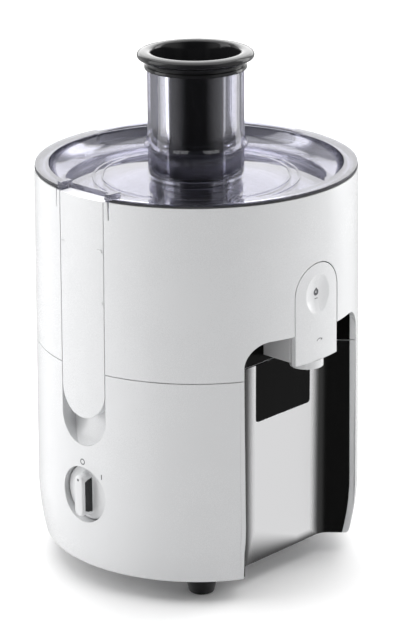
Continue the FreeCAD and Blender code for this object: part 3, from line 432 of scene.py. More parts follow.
def finish_named(name):
    """The finish of a record slot or a look of its own, made on first use."""
    if name not in MADE:
        chosen = bpy.context.scene.juicer_finish
        knob = bpy.context.scene.juicer_knob
        blade_root = low("rotary_knob").x + knob.blade_rise - 0.9 * MM
        makers = {
            "white_shell": lambda: moulded(name, chosen.shell, 0.27, 0.006 * MM, 0.35, 0.6 * MM),
            "inner_plastic": lambda: moulded(name, (0.035, 0.035, 0.038), 0.45, 0.03 * MM),
            "bowl_plastic": lambda: moulded(name, (0.62, 0.62, 0.63), 0.38, 0.02 * MM),
            "film_cap": lambda: moulded(name, (0.65, 0.5, 0.06), 0.4, 0.02 * MM),
            "carbon": lambda: moulded(name, (0.02, 0.02, 0.02), 0.55, 0.06 * MM),
            "clear_lid": lambda: clear_smoke(name, chosen.lid_light, chosen.lid_dark),
            "black_gloss": lambda: gloss_black(name, chosen.black),
            "black_rubber": lambda: rubber(name, (0.014, 0.014, 0.015)),
            "grey_seal": lambda: rubber(name, (0.05, 0.05, 0.055)),
            # The liner's colour carries painted dark reflections towards its sides and its foot.
            "polished_liner": lambda: bay_mirror_painted_reflection(name, chosen.liner, 27 * MM, 37 * MM),
            "steel": lambda: metal(name, (0.6, 0.6, 0.61), 0.3, 500.0, (1.0, 1.0, 0.1)),
            "zinc_bracket": lambda: metal(name, (0.5, 0.5, 0.51), 0.48, 700.0, (1.0, 1.0, 1.0)),
            "brass": lambda: metal(name, (0.75, 0.52, 0.22), 0.3, 500.0, (1.0, 0.1, 1.0)),
            "lamination": lambda: laminated(name, (0.22, 0.22, 0.24), 0.5 * MM),
            "copper": lambda: wound_copper(name, (0.7, 0.26, 0.1), 0.8 * MM),
            "board": lambda: board_green(name, (0.02, 0.14, 0.06)),
            # The knob's white carries painted shade on the flanks of the grip blade.
            "knob_white": lambda: white_with_painted_flank_shade(name, chosen.shell, knob.blade_half, blade_root),
            "bay_black": lambda: deep_black(name, (0.003, 0.003, 0.003)),
            "print_grey": lambda: printed(name, (0.09, 0.09, 0.1)),
        }
        MADE[name] = makers[name]()
    return MADE[name]


# ---- mesh helpers -------------------------------------------------------------
def linked(data, name):
    """Puts a new object with the given mesh, lamp or camera into the scene."""
    thing = bpy.data.objects.new(name, data)
    bpy.context.scene.collection.objects.link(thing)
    return thing


def smooth_by_angle(mesh, degrees):
    """Shades the mesh smooth and keeps its real edges sharp."""
    mesh.polygons.foreach_set("use_smooth", [True] * len(mesh.polygons))
    mesh.set_sharp_from_angle(angle=math.radians(degrees))
    mesh.update()


def as_mesh(form, name, solid=True):
    """Turns a bmesh into a finished object, a closed solid or a flat sheet."""
    bmesh.ops.remove_doubles(form, verts=form.verts, dist=OWN_MERGE)
    if solid:
        bmesh.ops.recalc_face_normals(form, faces=form.faces)
    mesh = bpy.data.meshes.new(name)
    form.to_mesh(mesh)
    form.free()
    smooth_by_angle(mesh, TURNED_CREASE if solid else FLAT_CREASE)
    return linked(mesh, name)


def softened(points):
    """Closed outline of (radius, height, rounding) corners, with each corner rolled over."""
    out = []
    count = len(points)
    for i, (r, z, rounding) in enumerate(points):
        here = Vector((r, z))
        before = Vector(points[i - 1][:2])
        after = Vector(points[(i + 1) % count][:2])
        back, ahead = before - here, after - here
        if rounding <= 0 or r <= 0:
            out.append(here)
            continue
        reach = min(rounding, back.length * 0.49, ahead.length * 0.49)
        start = here + back.normalized() * reach
        end = here + ahead.normalized() * reach
        for k in range(CORNER_STEPS + 1):
            t = k / CORNER_STEPS
            out.append(start * (1 - t) ** 2 + here * (2 * t * (1 - t)) + end * t ** 2)
    return out


def lathe(form, outline, segments, centre=(0.0, 0.0)):
    """Adds a closed body of revolution about an upright axis to a bmesh."""
    turns = [math.tau * k / segments for k in range(segments)]
    rings = []
    for r, z in outline:
        spots = turns if r > 1e-7 else [0.0]
        rings.append([form.verts.new((centre[0] + r * math.cos(turn), centre[1] + r * math.sin(turn), z))
                      for turn in spots])
    for i, row in enumerate(rings):
        other = rings[(i + 1) % len(rings)]
        if len(row) == 1 and len(other) == 1:
            continue
        for k in range(segments):
            n = (k + 1) % segments
            if len(row) == 1:
                form.faces.new((row[0], other[n], other[k]))
            elif len(other) == 1:
                form.faces.new((row[k], row[n], other[0]))
            else:
                form.faces.new((row[k], row[n], other[n], other[k]))


def turned(name, outline, segments=128):
    """Object made of a closed outline turned about Z."""
    form = bmesh.new()
    lathe(form, outline, segments)
    return as_mesh(form, name)


def slot_ring(form, x, z, half_width, half_length):
    """Ring of corners round an upright slot shape, at one place along X."""
    straight = half_length - half_width
    row = []
    for end in (1, -1):
        for k in range(SLOT_STEPS + 1):
            turn = math.pi * (k / SLOT_STEPS) + (0.0 if end > 0 else math.pi)
            row.append(form.verts.new((x, half_width * math.cos(turn),
                                       z + end * straight + half_width * math.sin(turn))))
    return row


def skin(form, rings):
    """Joins rings of equal count into a closed skin with flat ends."""
    for row, other in zip(rings, rings[1:]):
        for k in range(len(row)):
            n = (k + 1) % len(row)
            form.faces.new((row[k], row[n], other[n], other[k]))
    form.faces.new(rings[0])
    form.faces.new(rings[-1])


def corner_normals(mesh, crease):
    """Shading normals, one per corner: wide faces rule their small neighbours within the crease angle."""
    faces, corners = len(mesh.polygons), len(mesh.loops)
    face_n = np.empty(faces * 3)
    mesh.polygons.foreach_get("normal", face_n)
    face_n = face_n.reshape(-1, 3)
    area = np.empty(faces)
    mesh.polygons.foreach_get("area", area)
    sizes = np.empty(faces, int)
    mesh.polygons.foreach_get("loop_total", sizes)
    owner = np.repeat(np.arange(faces), sizes)
    vertex = np.empty(corners, int)
    mesh.loops.foreach_get("vertex_index", vertex)
    order = np.argsort(vertex, kind="stable")
    ranked = vertex[order]
    first = np.searchsorted(ranked, ranked, "left")
    count = np.searchsorted(ranked, ranked, "right") - first
    one = np.repeat(np.arange(corners), count)
    step = np.arange(count.sum()) - np.repeat(np.cumsum(count) - count, count)
    other = order[np.repeat(first, count) + step]
    one = order[one]
    alike = (face_n[owner[one]] * face_n[owner[other]]).sum(1) > math.cos(math.radians(crease))
    total = np.zeros((corners, 3))
    np.add.at(total, one[alike], face_n[owner[other[alike]]] * (area[owner[other[alike]]] + 1e-12)[:, None])
    return total, face_n, owner, vertex


def turned_normals(mesh, total, face_n, owner, vertex):
    """Gives faces that lie on a body of revolution about Z their true round normals."""
    round_within, flat_below = 4.0, 0.05
    place = np.empty(len(mesh.vertices) * 3)
    mesh.vertices.foreach_get("co", place)
    place = place.reshape(-1, 3)[vertex]
    out = place[:, :2] / (np.linalg.norm(place[:, :2], axis=1, keepdims=True) + 1e-12)
    centre = np.zeros((len(face_n), 2))
    np.add.at(centre, owner, place[:, :2])
    centre /= np.linalg.norm(centre, axis=1, keepdims=True) + 1e-12
    flat = face_n[:, :2]
    tilt = np.linalg.norm(flat, axis=1)
    side = (flat * centre).sum(1)
    round_face = np.abs(side) > np.cos(np.radians(round_within)) * tilt
    round_face &= tilt > flat_below
    total = total / (np.linalg.norm(total, axis=1, keepdims=True) + 1e-15)
    rise = total[:, 2:3]
    level = np.sqrt(np.clip(1.0 - rise ** 2, 0.0, 1.0))
    exact = np.hstack([out * np.sign(side)[owner][:, None] * level, rise])
    return np.where(round_face[owner][:, None], exact, total)


def copied(node, name):
    """Merged copy of a frame node's mesh, with clean shading on its flat and round faces."""
    form = bmesh.new()
    form.from_mesh(frame["nodes"][node].data)
    bmesh.ops.remove_doubles(form, verts=form.verts, dist=CAD_MERGE)
    mesh = bpy.data.meshes.new(name)
    form.to_mesh(mesh)
    form.free()
    smooth_by_angle(mesh, COPY_CREASE)
    mesh.normals_split_custom_set(turned_normals(mesh, *corner_normals(mesh, COPY_CREASE)).tolist())
    return linked(mesh, name)


def paint(thing, slot):
    """Gives a thing one finish all over."""
    thing.data.materials.clear()
    thing.data.materials.append(finish_named(slot))


def settle(thing, node, look=None, replaces=True):
    """Paints a piece with its slot's finish or a look of its own, and rides it on the node's body."""
    paint(thing, look or SLOTS[node])
    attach(thing, BODY_OF[node])
    if replaces:
        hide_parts(node)


def grown(thing, tree, values):
    """Runs a Geometry Nodes tree on a thing and keeps the result as a plain mesh."""
    modifier = thing.modifiers.new("grow", "NODES")
    modifier.node_group = tree
    names = {item.name: item.identifier for item in tree.interface.items_tree
             if item.item_type == "SOCKET" and item.in_out == "INPUT"}
    for key, value in values.items():
        modifier[names[key]] = value
    bpy.context.view_layer.update()
    ready = thing.evaluated_get(bpy.context.evaluated_depsgraph_get())
    mesh = bpy.data.meshes.new_from_object(ready)
    thing.modifiers.clear()
    thing.data = mesh


class Growth(Tree):
    """A Geometry Nodes tree with named inputs."""

    def __init__(self, name, inputs):
        super().__init__(bpy.data.node_groups.new(name, "GeometryNodeTree"))
        for label, kind in inputs.items():
            self.tree.interface.new_socket(label, in_out="INPUT", socket_type="NodeSocket" + kind)
        self.tree.interface.new_socket("Geometry", in_out="OUTPUT", socket_type="NodeSocketGeometry")
        self.source = self.node("NodeGroupInput")
        self.sink = self.node("NodeGroupOutput")

    def given(self, label):
        """One of the tree's named inputs."""
        return Wire(self, self.source.outputs[label])

    def joined(self, *parts):
        """Several geometries as one."""
        made = self.node("GeometryNodeJoinGeometry")
        for part in parts:
            self.link(part, made.inputs[0])
        return Wire(self, made.outputs[0])

    def point(self, x, y, z):
        """Vector of three numbers."""
        return self.wire("ShaderNodeCombineXYZ", None, {"X": x, "Y": y, "Z": z})

    def round_point(self, radius, angle, z):
        """Point at a radius and an angle about Z."""
        return self.point(radius * angle.math("COSINE"), radius * angle.math("SINE"), z)

    def close(self, geometry, material):
        """Ends the tree with Realize Instances and Set Material."""
        real = self.wire("GeometryNodeRealizeInstances", None, {0: geometry})
        painted = self.wire("GeometryNodeSetMaterial", None, {0: real, "Material": material})
        self.link(painted, self.sink.inputs[0])
        return self.tree


def filter_cells():
    """Etched filter sheet: six-sided cells with a hole each, in rows that wrap round a cone.

    The net is laid out flat, in cell widths, before it is wrapped.
    """
    growth = Growth("filter_cells", {"Geometry": "Geometry", "Around": "Int", "Rows": "Int",
                                     "Open share": "Float", "Low radius": "Float", "High radius": "Float",
                                     "Low height": "Float", "Rise": "Float", "Sheet": "Float",
                                     "Material": "Material"})
    around, rows = growth.given("Around"), growth.given("Rows")
    low_radius, high_radius = growth.given("Low radius"), growth.given("High radius")
    overhang = 2.0 / 3.0
    six = growth.wire("GeometryNodeCurvePrimitiveCircle", None, {"Resolution": 6, "Radius": overhang})
    upright = {"Geometry": six, "Rotation": (0.0, 0.0, math.pi / 2),
               "Scale": (1.0, math.cos(math.pi / 6), 1.0)}
    rim = growth.wire("GeometryNodeTransform", None, upright)
    size = {"Resolution": 8, "Radius": growth.given("Open share") * 0.5}
    hole = growth.wire("GeometryNodeCurvePrimitiveCircle", None, size)
    cell = growth.wire("GeometryNodeFillCurve", None, {0: growth.joined(rim, hole)})
    index = growth.wire("GeometryNodeInputIndex")
    row = (index / around).math("FLOOR")
    column = index - row * around + row.math("MODULO", 2.0) * 0.5
    spots = growth.wire("GeometryNodePoints", None,
                        {"Count": around * rows, "Position": growth.point(column, row, 0.0)})
    laid = growth.wire("GeometryNodeInstanceOnPoints", None, {"Points": spots, "Instance": cell})
    flat = growth.wire("GeometryNodeRealizeInstances", None, {0: laid})
    net = growth.wire("GeometryNodeMergeByDistance", None, {"Geometry": flat, "Distance": 0.02})
    place = {0: growth.wire("GeometryNodeInputPosition")}
    rise = (growth.wire("ShaderNodeSeparateXYZ", None, place, "Y") + overhang) / (rows + overhang / 2)
    angle = growth.wire("ShaderNodeSeparateXYZ", None, place, "X") * math.tau / around
    radius = low_radius + (high_radius - low_radius) * rise
    spot = growth.round_point(radius, angle, growth.given("Low height") + growth.given("Rise") * rise)
    cone = growth.wire("GeometryNodeSetPosition", None, {"Geometry": net, "Position": spot})
    shut = growth.wire("GeometryNodeMergeByDistance", None, {"Geometry": cone, "Distance": 0.02 * MM})
    outer = growth.wire("GeometryNodeExtrudeMesh", None,
                        {"Mesh": shut, "Offset Scale": growth.given("Sheet"), "Individual": False})
    inner = growth.wire("GeometryNodeFlipFaces", None, {0: shut})
    whole = {"Geometry": growth.joined(outer, inner), "Distance": 0.005 * MM}
    return growth.close(growth.wire("GeometryNodeMergeByDistance", None, whole), growth.given("Material"))


def grating_teeth():
    """Disc with cutting teeth set out like seeds in a sunflower, each across its radius."""
    growth = Growth("grating_teeth", {"Geometry": "Geometry", "Teeth": "Int", "Inner radius": "Float",
                                      "Outer radius": "Float", "Height": "Float", "Length": "Float",
                                      "Tooth rise": "Float", "Material": "Material"})
    golden_turn = math.pi * (3.0 - math.sqrt(5.0))
    index = growth.wire("GeometryNodeInputIndex")
    share = (index + 0.5) / growth.given("Teeth")
    inner, outer = growth.given("Inner radius"), growth.given("Outer radius")
    radius = (inner * inner + (outer * outer - inner * inner) * share).math("SQRT")
    angle = index * golden_turn
    spot = growth.round_point(radius, angle, growth.given("Height"))
    spots = growth.wire("GeometryNodePoints", None, {"Count": growth.given("Teeth"), "Position": spot})
    size = {"Vertices": 4, "Radius Top": 0.0, "Radius Bottom": growth.given("Length") * 0.5,
            "Depth": growth.given("Tooth rise")}
    tooth = growth.wire("GeometryNodeMeshCone", None, size)
    lot = growth.wire("GeometryNodeInstanceOnPoints", None,
                      {"Points": spots, "Instance": tooth, "Rotation": growth.point(0.0, 0.0, angle),
                       "Scale": (0.3, 1.0, 1.0)})
    return growth.close(growth.joined(growth.given("Geometry"), lot), growth.given("Material"))


# ---- printed marks ------------------------------------------------------------
def stroke(form, points, width, closed):
    """Adds a flat stripe of even width along (right, up) points to a bmesh."""
    points = [Vector(point) for point in points]
    count = len(points)
    rows = []
    for i, here in enumerate(points):
        before = points[i - 1] if closed or i else here
        after = points[(i + 1) % count] if closed or i < count - 1 else here
        along = (after - before).normalized()
        side = Vector((-along.y, along.x)) * width / 2
        rows.append([form.verts.new((*(here - side), 0.0)), form.verts.new((*(here + side), 0.0))])
    for i in range(count if closed else count - 1):
        first, second = rows[i], rows[(i + 1) % count]
        form.faces.new((first[0], second[0], second[1], first[1]))


def arc(centre, radius, start, end, steps):
    """Points on an arc, with its angles in degrees."""
    turns = [math.radians(start + (end - start) * k / steps) for k in range(steps + 1)]
    return [(centre[0] + radius * math.cos(t), centre[1] + radius * math.sin(t)) for t in turns]


def printed_on(name, strokes, node, place, out):
    """Prints a mark of (points, width, closed) strokes on a node, seen from the out direction."""
    form = bmesh.new()
    for points, width, closed in strokes:
        stroke(form, points, width, closed)
    out = Vector(out)
    up = Vector((0.0, 0.0, 1.0))
    right = up.cross(out)
    clear_of_all = out * 200 * MM
    mesh = frame["nodes"][node].data
    surface = BVHTree.FromPolygons([corner.co for corner in mesh.vertices],
                                   [face.vertices for face in mesh.polygons])
    for corner in form.verts:
        start = Vector(place) + right * corner.co.x + up * corner.co.y + clear_of_all
        hit = surface.ray_cast(start, -out)[0]
        corner.co = hit + out * INK_RISE
    settle(as_mesh(form, name, False), node, "print_grey", False)


# ---- settings -----------------------------------------------------------------
def length(label, note, value):
    """Setting that holds a length in metres."""
    return FloatProperty(name=label, description=note, default=value, unit="LENGTH", precision=4)


def tint(label, note, value):
    """Setting that holds a colour."""
    return FloatVectorProperty(name=label, description=note, default=value, subtype="COLOR", min=0, max=1)


class FinishSettings(bpy.types.PropertyGroup):
    shell: tint("Shell", "Colour of the moulded white shells", (0.70, 0.705, 0.715))
    black: tint("Black", "Colour of the polished black plastic", (0.012, 0.012, 0.013))
    lid_light: tint("Lid, square on", "Tint of the clear lid seen square on", (0.88, 0.88, 0.91))
    lid_dark: tint("Lid, edge on", "Tint of the clear lid seen edge on", (0.36, 0.35, 0.44))
    liner: tint("Liner", "Colour of the polished liner of the glass bay", (0.86, 0.86, 0.87))


class PusherSettings(bpy.types.PropertyGroup):
    mouth: length("Mouth radius", "Radius of the pusher's open mouth", 29.3 * MM)
    cup: length("Cup radius", "Radius of the hollow inside the pusher", 27.4 * MM)
    floor: length("Floor thickness", "Thickness of the pusher's closed lower end", 3.0 * MM)
    shaft: length("Shaft radius", "Outer radius of the part that slides in the tube", 29.7 * MM)
    collar: length("Collar radius", "Radius of the stop collar", 34.2 * MM)
    collar_rise: length("Collar height", "Thickness of the stop collar", 2.6 * MM)


class KnobSettings(bpy.types.PropertyGroup):
    disc: length("Disc thickness", "Thickness of the knob's disc", 4.2 * MM)
    stem: length("Stem radius", "Radius of the stem behind the disc", 6.0 * MM)
    bore: length("Bore radius", "Radius of the hole for the switch shaft", 3.0 * MM)
    blade_rise: length("Blade height", "How far the grip blade stands off the disc", 9.1 * MM)
    blade_half: length("Blade half width", "Half width of the grip blade", 4.6 * MM)
    blade_reach: length("Blade half length", "Half length of the grip blade", 15.0 * MM)
    dot: length("Dot radius", "Radius of the pointer dot", 0.9 * MM)


class BasketSettings(bpy.types.PropertyGroup):
    around: IntProperty(name="Holes around", description="Holes in one row of the filter",
                        default=150, min=24)
    rows: IntProperty(name="Rows", description="Rows of holes up the filter", default=22, min=4)
    open_share: FloatProperty(name="Open share", description="Hole size as a share of its cell",
                              default=0.56, min=0.1, max=0.9, subtype="FACTOR")
    sheet: length("Sheet thickness", "Thickness of the etched filter sheet", 0.45 * MM)
    teeth: IntProperty(name="Teeth", description="Teeth on the grating disc", default=230, min=20)
    tooth: length("Tooth length", "Length of one grating tooth", 2.3 * MM)
    tooth_rise: length("Tooth height", "Height of one grating tooth", 1.35 * MM)


class FootSettings(bpy.types.PropertyGroup):
    sole: length("Sole radius", "Radius of the foot at the table", 8.5 * MM)
    dimple: length("Sole hollow", "Depth of the hollow under the foot", 0.8 * MM)
    stem: length("Stem radius", "Radius of the stem in the base plate", 4.2 * MM)
    plate: length("Plate thickness", "Thickness of the base plate that the stem passes", 2.6 * MM)


class MarkSettings(bpy.types.PropertyGroup):
    stroke: length("Line width", "Width of the printed lines", 0.75 * MM)
    height: length("Mark height", "Height of the marks at the knob", 3.6 * MM)
    dial: length("Dial radius", "Distance of the marks from the knob's axis", 23.4 * MM)
    drop: length("Drop height", "Height of the drop on the flap", 4.0 * MM)
    drop_below: length("Drop depth", "Distance of the drop below the flap's top", 19.5 * MM)
    curl_below: length("Arrow depth", "Distance of the arrow below the drop", 34.0 * MM)


class StudioSettings(bpy.types.PropertyGroup):
    azimuth: FloatProperty(name="Azimuth", description="Camera direction round the object",
                           default=math.radians(-46.2), subtype="ANGLE")
    elevation: FloatProperty(name="Elevation", description="Camera height above the horizon",
                             default=math.radians(18.8), subtype="ANGLE")
    roll: FloatProperty(name="Roll", description="Camera roll", default=math.radians(-0.35), subtype="ANGLE")
    distance: length("Distance", "Camera distance from its aim", 1.7)
    aim: length("Aim height", "Height of the camera's aim on the bowl axis", 0.169)
    side: length("Aim offset", "Aim offset to the right of the bowl axis", 1.9 * MM)
    lens: FloatProperty(name="Lens", description="Focal length in millimetres", default=143.5, min=10)
    even_glow: FloatProperty(name="Even glow", description="Room light from all round", default=0.05, min=0)
    side_glow: FloatProperty(name="Side glow", description="Room light from both sides", default=0.75, min=0)
    back_glow: FloatProperty(name="Back glow", description="Room light from behind", default=0.5, min=0)


# ---- pieces -------------------------------------------------------------------
class JUICER_OT_shells(bpy.types.Operator):
    """White moulded shells: base, bay walls, drum, locking arm, drip-stop flap, nozzle and plunger"""
    bl_idname = "juicer.shells"
    bl_label = "Moulded shells"

    def execute(self, context):
        for node, slot in SLOTS.items():
            if slot == "white_shell" and node != "rotary_knob":
                settle(copied(node, node + "_skin"), node)
        return {"FINISHED"}


class JUICER_OT_bay(bpy.types.Operator):
    """Polished liner with painted dark reflections, black window and black roof of the glass bay"""
    bl_idname = "juicer.bay"
    bl_label = "Glass bay"

    def execute(self, context):
        for node, look in (("bay_liner", None), ("bay_window", "bay_black"), ("bay_roof", "bay_black")):
            settle(copied(node, node + "_skin"), node, look)
        return {"FINISHED"}


class JUICER_OT_lid(bpy.types.Operator):
    """Clear lid with its feed tube, and the seal under its flange"""
    bl_idname = "juicer.lid"
    bl_label = "Lid"

    def execute(self, context):
        settle(copied("lid", "clear_lid_body"), "lid")
        settle(copied("lid_seal", "lid_seal_band"), "lid_seal")
        return {"FINISHED"}


class JUICER_OT_pusher(bpy.types.Operator):
    """Hollow pusher, turned in one piece with its rolled mouth and stop collar"""
    bl_idname = "juicer.pusher"
    bl_label = "Pusher"

    def execute(self, context):
        size = context.scene.juicer_pusher
        foot, top = low("pusher").z, high("pusher").z
        lip = high("pusher").x
        gap = 0.35 * MM
        seat = high("lid").z + gap
        rise = seat + size.collar_rise
        outline = softened([
            (0.0, foot, 0), (size.shaft, foot, 3.0 * MM), (size.shaft, seat, 0.2 * MM),
            (size.collar, seat, 0.8 * MM), (size.collar, rise, 0.8 * MM),
            (size.collar - 1.4 * MM, rise, 0.5 * MM), (size.collar - 0.8 * MM, top - 6.2 * MM, 2.4 * MM),
            (lip - 0.6 * MM, top - 4.9 * MM, 1.6 * MM), (lip, top - 2.6 * MM, 1.4 * MM),
            (lip - 1.6 * MM, top - 0.7 * MM, 2.0 * MM), (size.mouth + 4.0 * MM, top, 3.0 * MM),
            (size.mouth + 0.6 * MM, top - 0.7 * MM, 1.8 * MM),
            (size.mouth - 0.2 * MM, top - 5.0 * MM, 3.0 * MM),
            (size.cup, top - 16 * MM, 5.0 * MM), (size.cup, foot + size.floor, 3.0 * MM),
            (0.0, foot + size.floor, 0)])
        settle(turned("pusher_body", outline, 160), "pusher")
        return {"FINISHED"}


class JUICER_OT_knob(bpy.types.Operator):
    """Rotary knob: domed disc, tapered grip blade, bored stem and a pointer dot"""
    bl_idname = "juicer.knob"
    bl_label = "Rotary knob"

    def execute(self, context):
        size = context.scene.juicer_knob
        face, back = low("rotary_knob"), high("rotary_knob")
        centre = (face.z + back.z) / 2
        reach = (back.z - face.z) / 2
        front = face.x + size.blade_rise
        sleeve, dome = 9.5 * MM, -0.3 * MM
        form = bmesh.new()
        lathe(form, softened([
            (0.0, 0.0, 0), (size.bore, 0.0, 0.1 * MM), (size.bore, sleeve, 0.1 * MM),
            (size.stem, sleeve, 0.3 * MM), (size.stem, size.disc, 0.2 * MM),
            (reach, size.disc, 0.3 * MM), (reach, 0.4 * MM, 1.4 * MM),
            (reach * 0.6, -0.25 * MM, 2.0 * MM), (0.0, dome, 0)]), 96)
        bmesh.ops.rotate(form, verts=form.verts, matrix=Matrix.Rotation(math.pi / 2, 3, "Y"))
        bmesh.ops.translate(form, verts=form.verts, vec=(front, 0.0, centre))
        tip = -size.blade_rise
        root = ((0.8 * MM, 1.6 * MM), (-0.1 * MM, 1.0 * MM), (-0.7 * MM, 0.35 * MM), (-1.6 * MM, 0.0))
        crown = ((tip + 1.3 * MM, -0.35 * MM), (tip + 0.5 * MM, -0.7 * MM),
                 (tip + 0.1 * MM, -1.3 * MM), (tip, -2.1 * MM))
        skin(form, [slot_ring(form, front + depth, centre, size.blade_half + grow, size.blade_reach + grow)
                    for depth, grow in root + crown])
        # The knob's finish paints shade on the flanks of the grip blade.
        settle(as_mesh(form, "knob_body"), "rotary_knob", "knob_white")
        dot = arc((0.0, 0.0), size.dot / 2, 0, RING_END, 23)
        dot_z = centre + size.blade_reach - 3.4 * MM
        printed_on("pointer_dot", [(dot, size.dot, True)], "rotary_knob", (0.0, 0.0, dot_z), LEFT)
        return {"FINISHED"}


class JUICER_OT_feet(bpy.types.Operator):
    """Rubber feet, turned with a rolled sole and a holding barb"""
    bl_idname = "juicer.feet"
    bl_label = "Feet"

    def execute(self, context):
        size = context.scene.juicer_foot
        for node in SLOTS:
            if not node.startswith("foot_"):
                continue
            foot, top = low(node), high(node)
            centre = (foot + top) / 2
            wide = (top.x - foot.x) / 2
            seat = low("base_plate").z
            bead = seat + size.plate
            outline = softened([
                (0.0, size.dimple, 0), (size.sole * 0.55, size.dimple, 0.4 * MM),
                (size.sole * 0.68, 0.0, 0.6 * MM), (size.sole, 0.0, 2.2 * MM),
                (wide - 0.6 * MM, seat - 5.0 * MM, 3.0 * MM), (wide, seat - 2.6 * MM, 1.4 * MM),
                (wide, seat, 0.7 * MM), (size.stem, seat, 0.2 * MM), (size.stem, bead, 0.2 * MM),
                (size.stem + 1.6 * MM, bead, 0.5 * MM), (size.stem - 1.0 * MM, top.z, 0.8 * MM),
                (0.0, top.z, 0)])
            form = bmesh.new()
            lathe(form, outline, 72, (centre.x, centre.y))
            settle(as_mesh(form, node + "_rubber"), node)
        return {"FINISHED"}


class JUICER_OT_basket(bpy.types.Operator):
    """Etched filter sheet of the basket and the grating disc with its teeth"""
    bl_idname = "juicer.basket"
    bl_label = "Filter basket"

    def execute(self, context):
        size = context.scene.juicer_basket
        foot, top = low("filter_mesh").z, high("filter_mesh").z
        sheet = linked(bpy.data.meshes.new("filter_sheet"), "filter_sheet")
        grown(sheet, filter_cells(), {
            "Around": size.around, "Rows": size.rows, "Open share": size.open_share,
            "Low radius": high("basket_hub").x - size.sheet,
            "High radius": high("filter_mesh").x - size.sheet, "Low height": foot, "Rise": top - foot,
            "Sheet": size.sheet, "Material": finish_named("steel")})
        settle(sheet, "filter_mesh")
        floor, crown, edge = low("grater_disc").z, high("grater_disc").z, high("grater_disc").x
        face = crown - size.tooth_rise
        hub = face + 0.9 * MM
        sunk = 0.05 * MM
        disc = turned("grater_plate", softened([
            (0.0, floor, 0), (edge, floor, 0.3 * MM), (edge, face, 0.5 * MM), (edge * 0.2, face, 0.3 * MM),
            (edge * 0.16, hub, 0.6 * MM), (0.0, hub, 0)]))
        grown(disc, grating_teeth(), {
            "Teeth": size.teeth, "Inner radius": edge * 0.26, "Outer radius": edge - 1.8 * MM,
            "Height": face - sunk, "Length": size.tooth, "Tooth rise": size.tooth_rise,
            "Material": finish_named("steel")})
        smooth_by_angle(disc.data, TURNED_CREASE)
        settle(disc, "grater_disc")
        return {"FINISHED"}


class JUICER_OT_marks(bpy.types.Operator):
    """Printed marks: off and on at the knob, a drop and a turning arrow on the flap"""
    bl_idname = "juicer.marks"
    bl_label = "Printed marks"

    def execute(self, context):
        size = context.scene.juicer_marks
        ink, fine = size.stroke, size.stroke * 0.7
        centre = (low("rotary_knob").z + high("rotary_knob").z) / 2
        off = arc((0.0, 0.0), size.height / 2, 0, RING_END, 23)
        place = (0.0, 0.0, centre + size.dial)
        printed_on("off_mark", [(off, ink, True)], "motor_housing", place, LEFT)
        on = [(0.0, -size.height / 2), (0.0, size.height / 2)]
        slant = size.dial * math.sqrt(0.5)
        place = (0.0, -slant, centre + slant)
        printed_on("on_mark", [(on, ink, False)], "motor_housing", place, LEFT)
        drop_z = high("drip_stop_flap").z - size.drop_below
        belly = size.drop * 0.36
        drop = [(0.0, size.drop * 0.4)] + arc((0.0, -size.drop * 0.2), belly, 150, 390, 20)
        place = (0.0, 0.0, drop_z)
        printed_on("drop_mark", [(drop, belly * 1.25, True)], "drip_stop_flap", place, FRONT)
        bar = [(-belly, 0.0), (belly, 0.0)]
        place = (0.0, 0.0, drop_z - size.drop * 1.25)
        printed_on("drop_bar_mark", [(bar, fine, False)], "drip_stop_flap", place, FRONT)
        curl = arc((0.0, -1.2 * MM), 3.0 * MM, 150, 35, 12)
        tip = Vector((2.46, 0.52)) * MM
        barbs = [tip + Vector((-0.1, 1.1)) * MM, tip, tip + Vector((-1.2, 0.1)) * MM]
        strokes = [(curl, fine, False), (barbs, fine, False)]
        place = (1.2 * MM, 0.0, drop_z - size.curl_below)
        printed_on("turn_mark", strokes, "drip_stop_flap", place, FRONT)
        return {"FINISHED"}


class JUICER_OT_inside(bpy.types.Operator):
    """Finishes of the pieces that are shown as the frame has them, such as motor, drive and switches"""
    bl_idname = "juicer.inside"
    bl_label = "Inner pieces"

    def execute(self, context):
        for node, thing in frame["nodes"].items():
            paint(thing, SLOTS[node])
        return {"FINISHED"}


# ---- stage --------------------------------------------------------------------
def aimed(thing, place, look_at, roll=0.0):
    """Stands a camera or lamp at a place and turns it to look at another."""
    thing.location = place
    thing.rotation_mode = "QUATERNION"
    look = look_at - thing.location
    thing.rotation_quaternion = look.to_track_quat("-Z", "Y") @ Quaternion((0, 0, 1), roll)


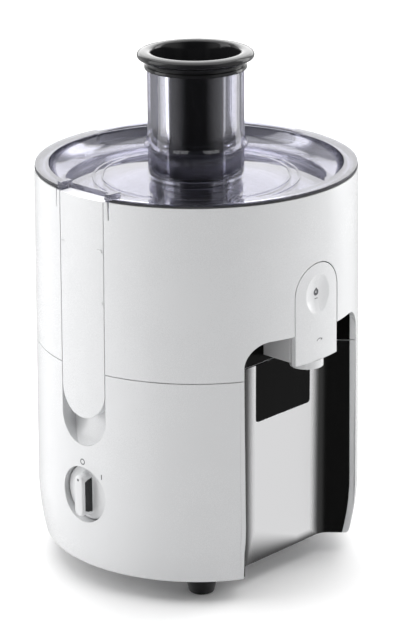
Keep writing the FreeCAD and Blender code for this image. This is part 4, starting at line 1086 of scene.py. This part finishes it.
class JUICER_OT_stage(bpy.types.Operator):
    """Pale floor, soft studio lamps and the camera"""
    bl_idname = "juicer.stage"
    bl_label = "Stage"

    def execute(self, context):
        scene = context.scene
        studio = scene.juicer_studio
        scene.view_settings.view_transform = "Standard"
        back = Vector((math.sin(studio.azimuth) * math.cos(studio.elevation),
                       -math.cos(studio.azimuth) * math.cos(studio.elevation), math.sin(studio.elevation)))
        right = Vector((math.cos(studio.azimuth), math.sin(studio.azimuth), 0.0))
        toward = Vector((back.x, back.y, 0.0)).normalized()
        camera = linked(bpy.data.cameras.new("camera"), "camera")
        camera.data.lens = studio.lens
        camera.data.sensor_width = 36.0
        aim = Vector((0.0, 0.0, studio.aim))
        aimed(camera, aim + back * studio.distance, aim + right * studio.side, studio.roll)
        scene.camera = camera
        form = bmesh.new()
        bmesh.ops.create_grid(form, x_segments=8, y_segments=8, size=6.0)
        floor = as_mesh(form, "floor", False)
        floor.data.materials.append(floor_finish("pale_floor", (0.93, 0.93, 0.93)))
        floor.visible_glossy = False
        # Name, metres to the right, metres toward the camera, height, width, length and watts.
        lamps = (("left_box", -1.25, 0.1, 0.6, 0.8, 1.5, 9.0),
                 ("right_box", 1.2, -0.55, 0.6, 0.6, 1.5, 9.0),
                 ("top_box", 0.0, -0.3, 2.4, 3.4, 3.0, 82.0),
                 ("back_box", 0.0, -2.2, 1.25, 3.2, 1.5, 34.0))
        lit = Vector((0.0, 0.0, 0.17))
        for name, across, near, height, wide, tall, power in lamps:
            lamp = bpy.data.lights.new(name, "AREA")
            lamp.shape = "RECTANGLE"
            lamp.size = wide
            lamp.size_y = tall
            lamp.energy = power
            thing = linked(lamp, name)
            thing.visible_camera = False
            aimed(thing, right * across + toward * near + Vector((0.0, 0.0, height)), lit)
        world = bpy.data.worlds.new("room")
        world.use_nodes = True
        room = Room(world)
        aside = room.along(right).math("ABSOLUTE").between(0.35, 0.85)
        behind = room.along(-toward).between(0.2, 0.75)
        glow = studio.even_glow + aside * studio.side_glow + behind * studio.back_glow
        room.link(glow, room.background.inputs["Strength"])
        scene.world = world
        return {"FINISHED"}


# ---- panel and registration ---------------------------------------------------
class JUICER_PT_panel(bpy.types.Panel):
    """Lists the juicer's builders and their settings"""
    bl_idname = "JUICER_PT_panel"
    bl_label = "Juicer"
    bl_space_type = "VIEW_3D"
    bl_region_type = "UI"
    bl_category = "Juicer"

    def draw(self, context):
        for operator in BUILDERS:
            self.layout.operator(operator.bl_idname)
        for slot, group in SETTINGS.items():
            for name in group.__annotations__:
                self.layout.prop(getattr(context.scene, slot), name)


BUILDERS = (JUICER_OT_stage, JUICER_OT_shells, JUICER_OT_bay, JUICER_OT_lid, JUICER_OT_pusher, JUICER_OT_knob,
            JUICER_OT_feet, JUICER_OT_basket, JUICER_OT_marks, JUICER_OT_inside)
SETTINGS = {"juicer_finish": FinishSettings, "juicer_pusher": PusherSettings, "juicer_knob": KnobSettings,
            "juicer_basket": BasketSettings, "juicer_foot": FootSettings, "juicer_marks": MarkSettings,
            "juicer_studio": StudioSettings}


def register():
    for group in SETTINGS.values():
        bpy.utils.register_class(group)
    for operator in BUILDERS:
        bpy.utils.register_class(operator)
    bpy.utils.register_class(JUICER_PT_panel)
    for slot, group in SETTINGS.items():
        setattr(bpy.types.Scene, slot, PointerProperty(type=group))


def unregister():
    for slot in SETTINGS:
        delattr(bpy.types.Scene, slot)
    bpy.utils.unregister_class(JUICER_PT_panel)
    for operator in reversed(BUILDERS):
        bpy.utils.unregister_class(operator)
    for group in reversed(list(SETTINGS.values())):
        bpy.utils.unregister_class(group)


def main():
    register()
    for operator in BUILDERS:
        family, name = operator.bl_idname.split(".")
        getattr(getattr(bpy.ops, family), name)()


if __name__ == "__main__":
    main()
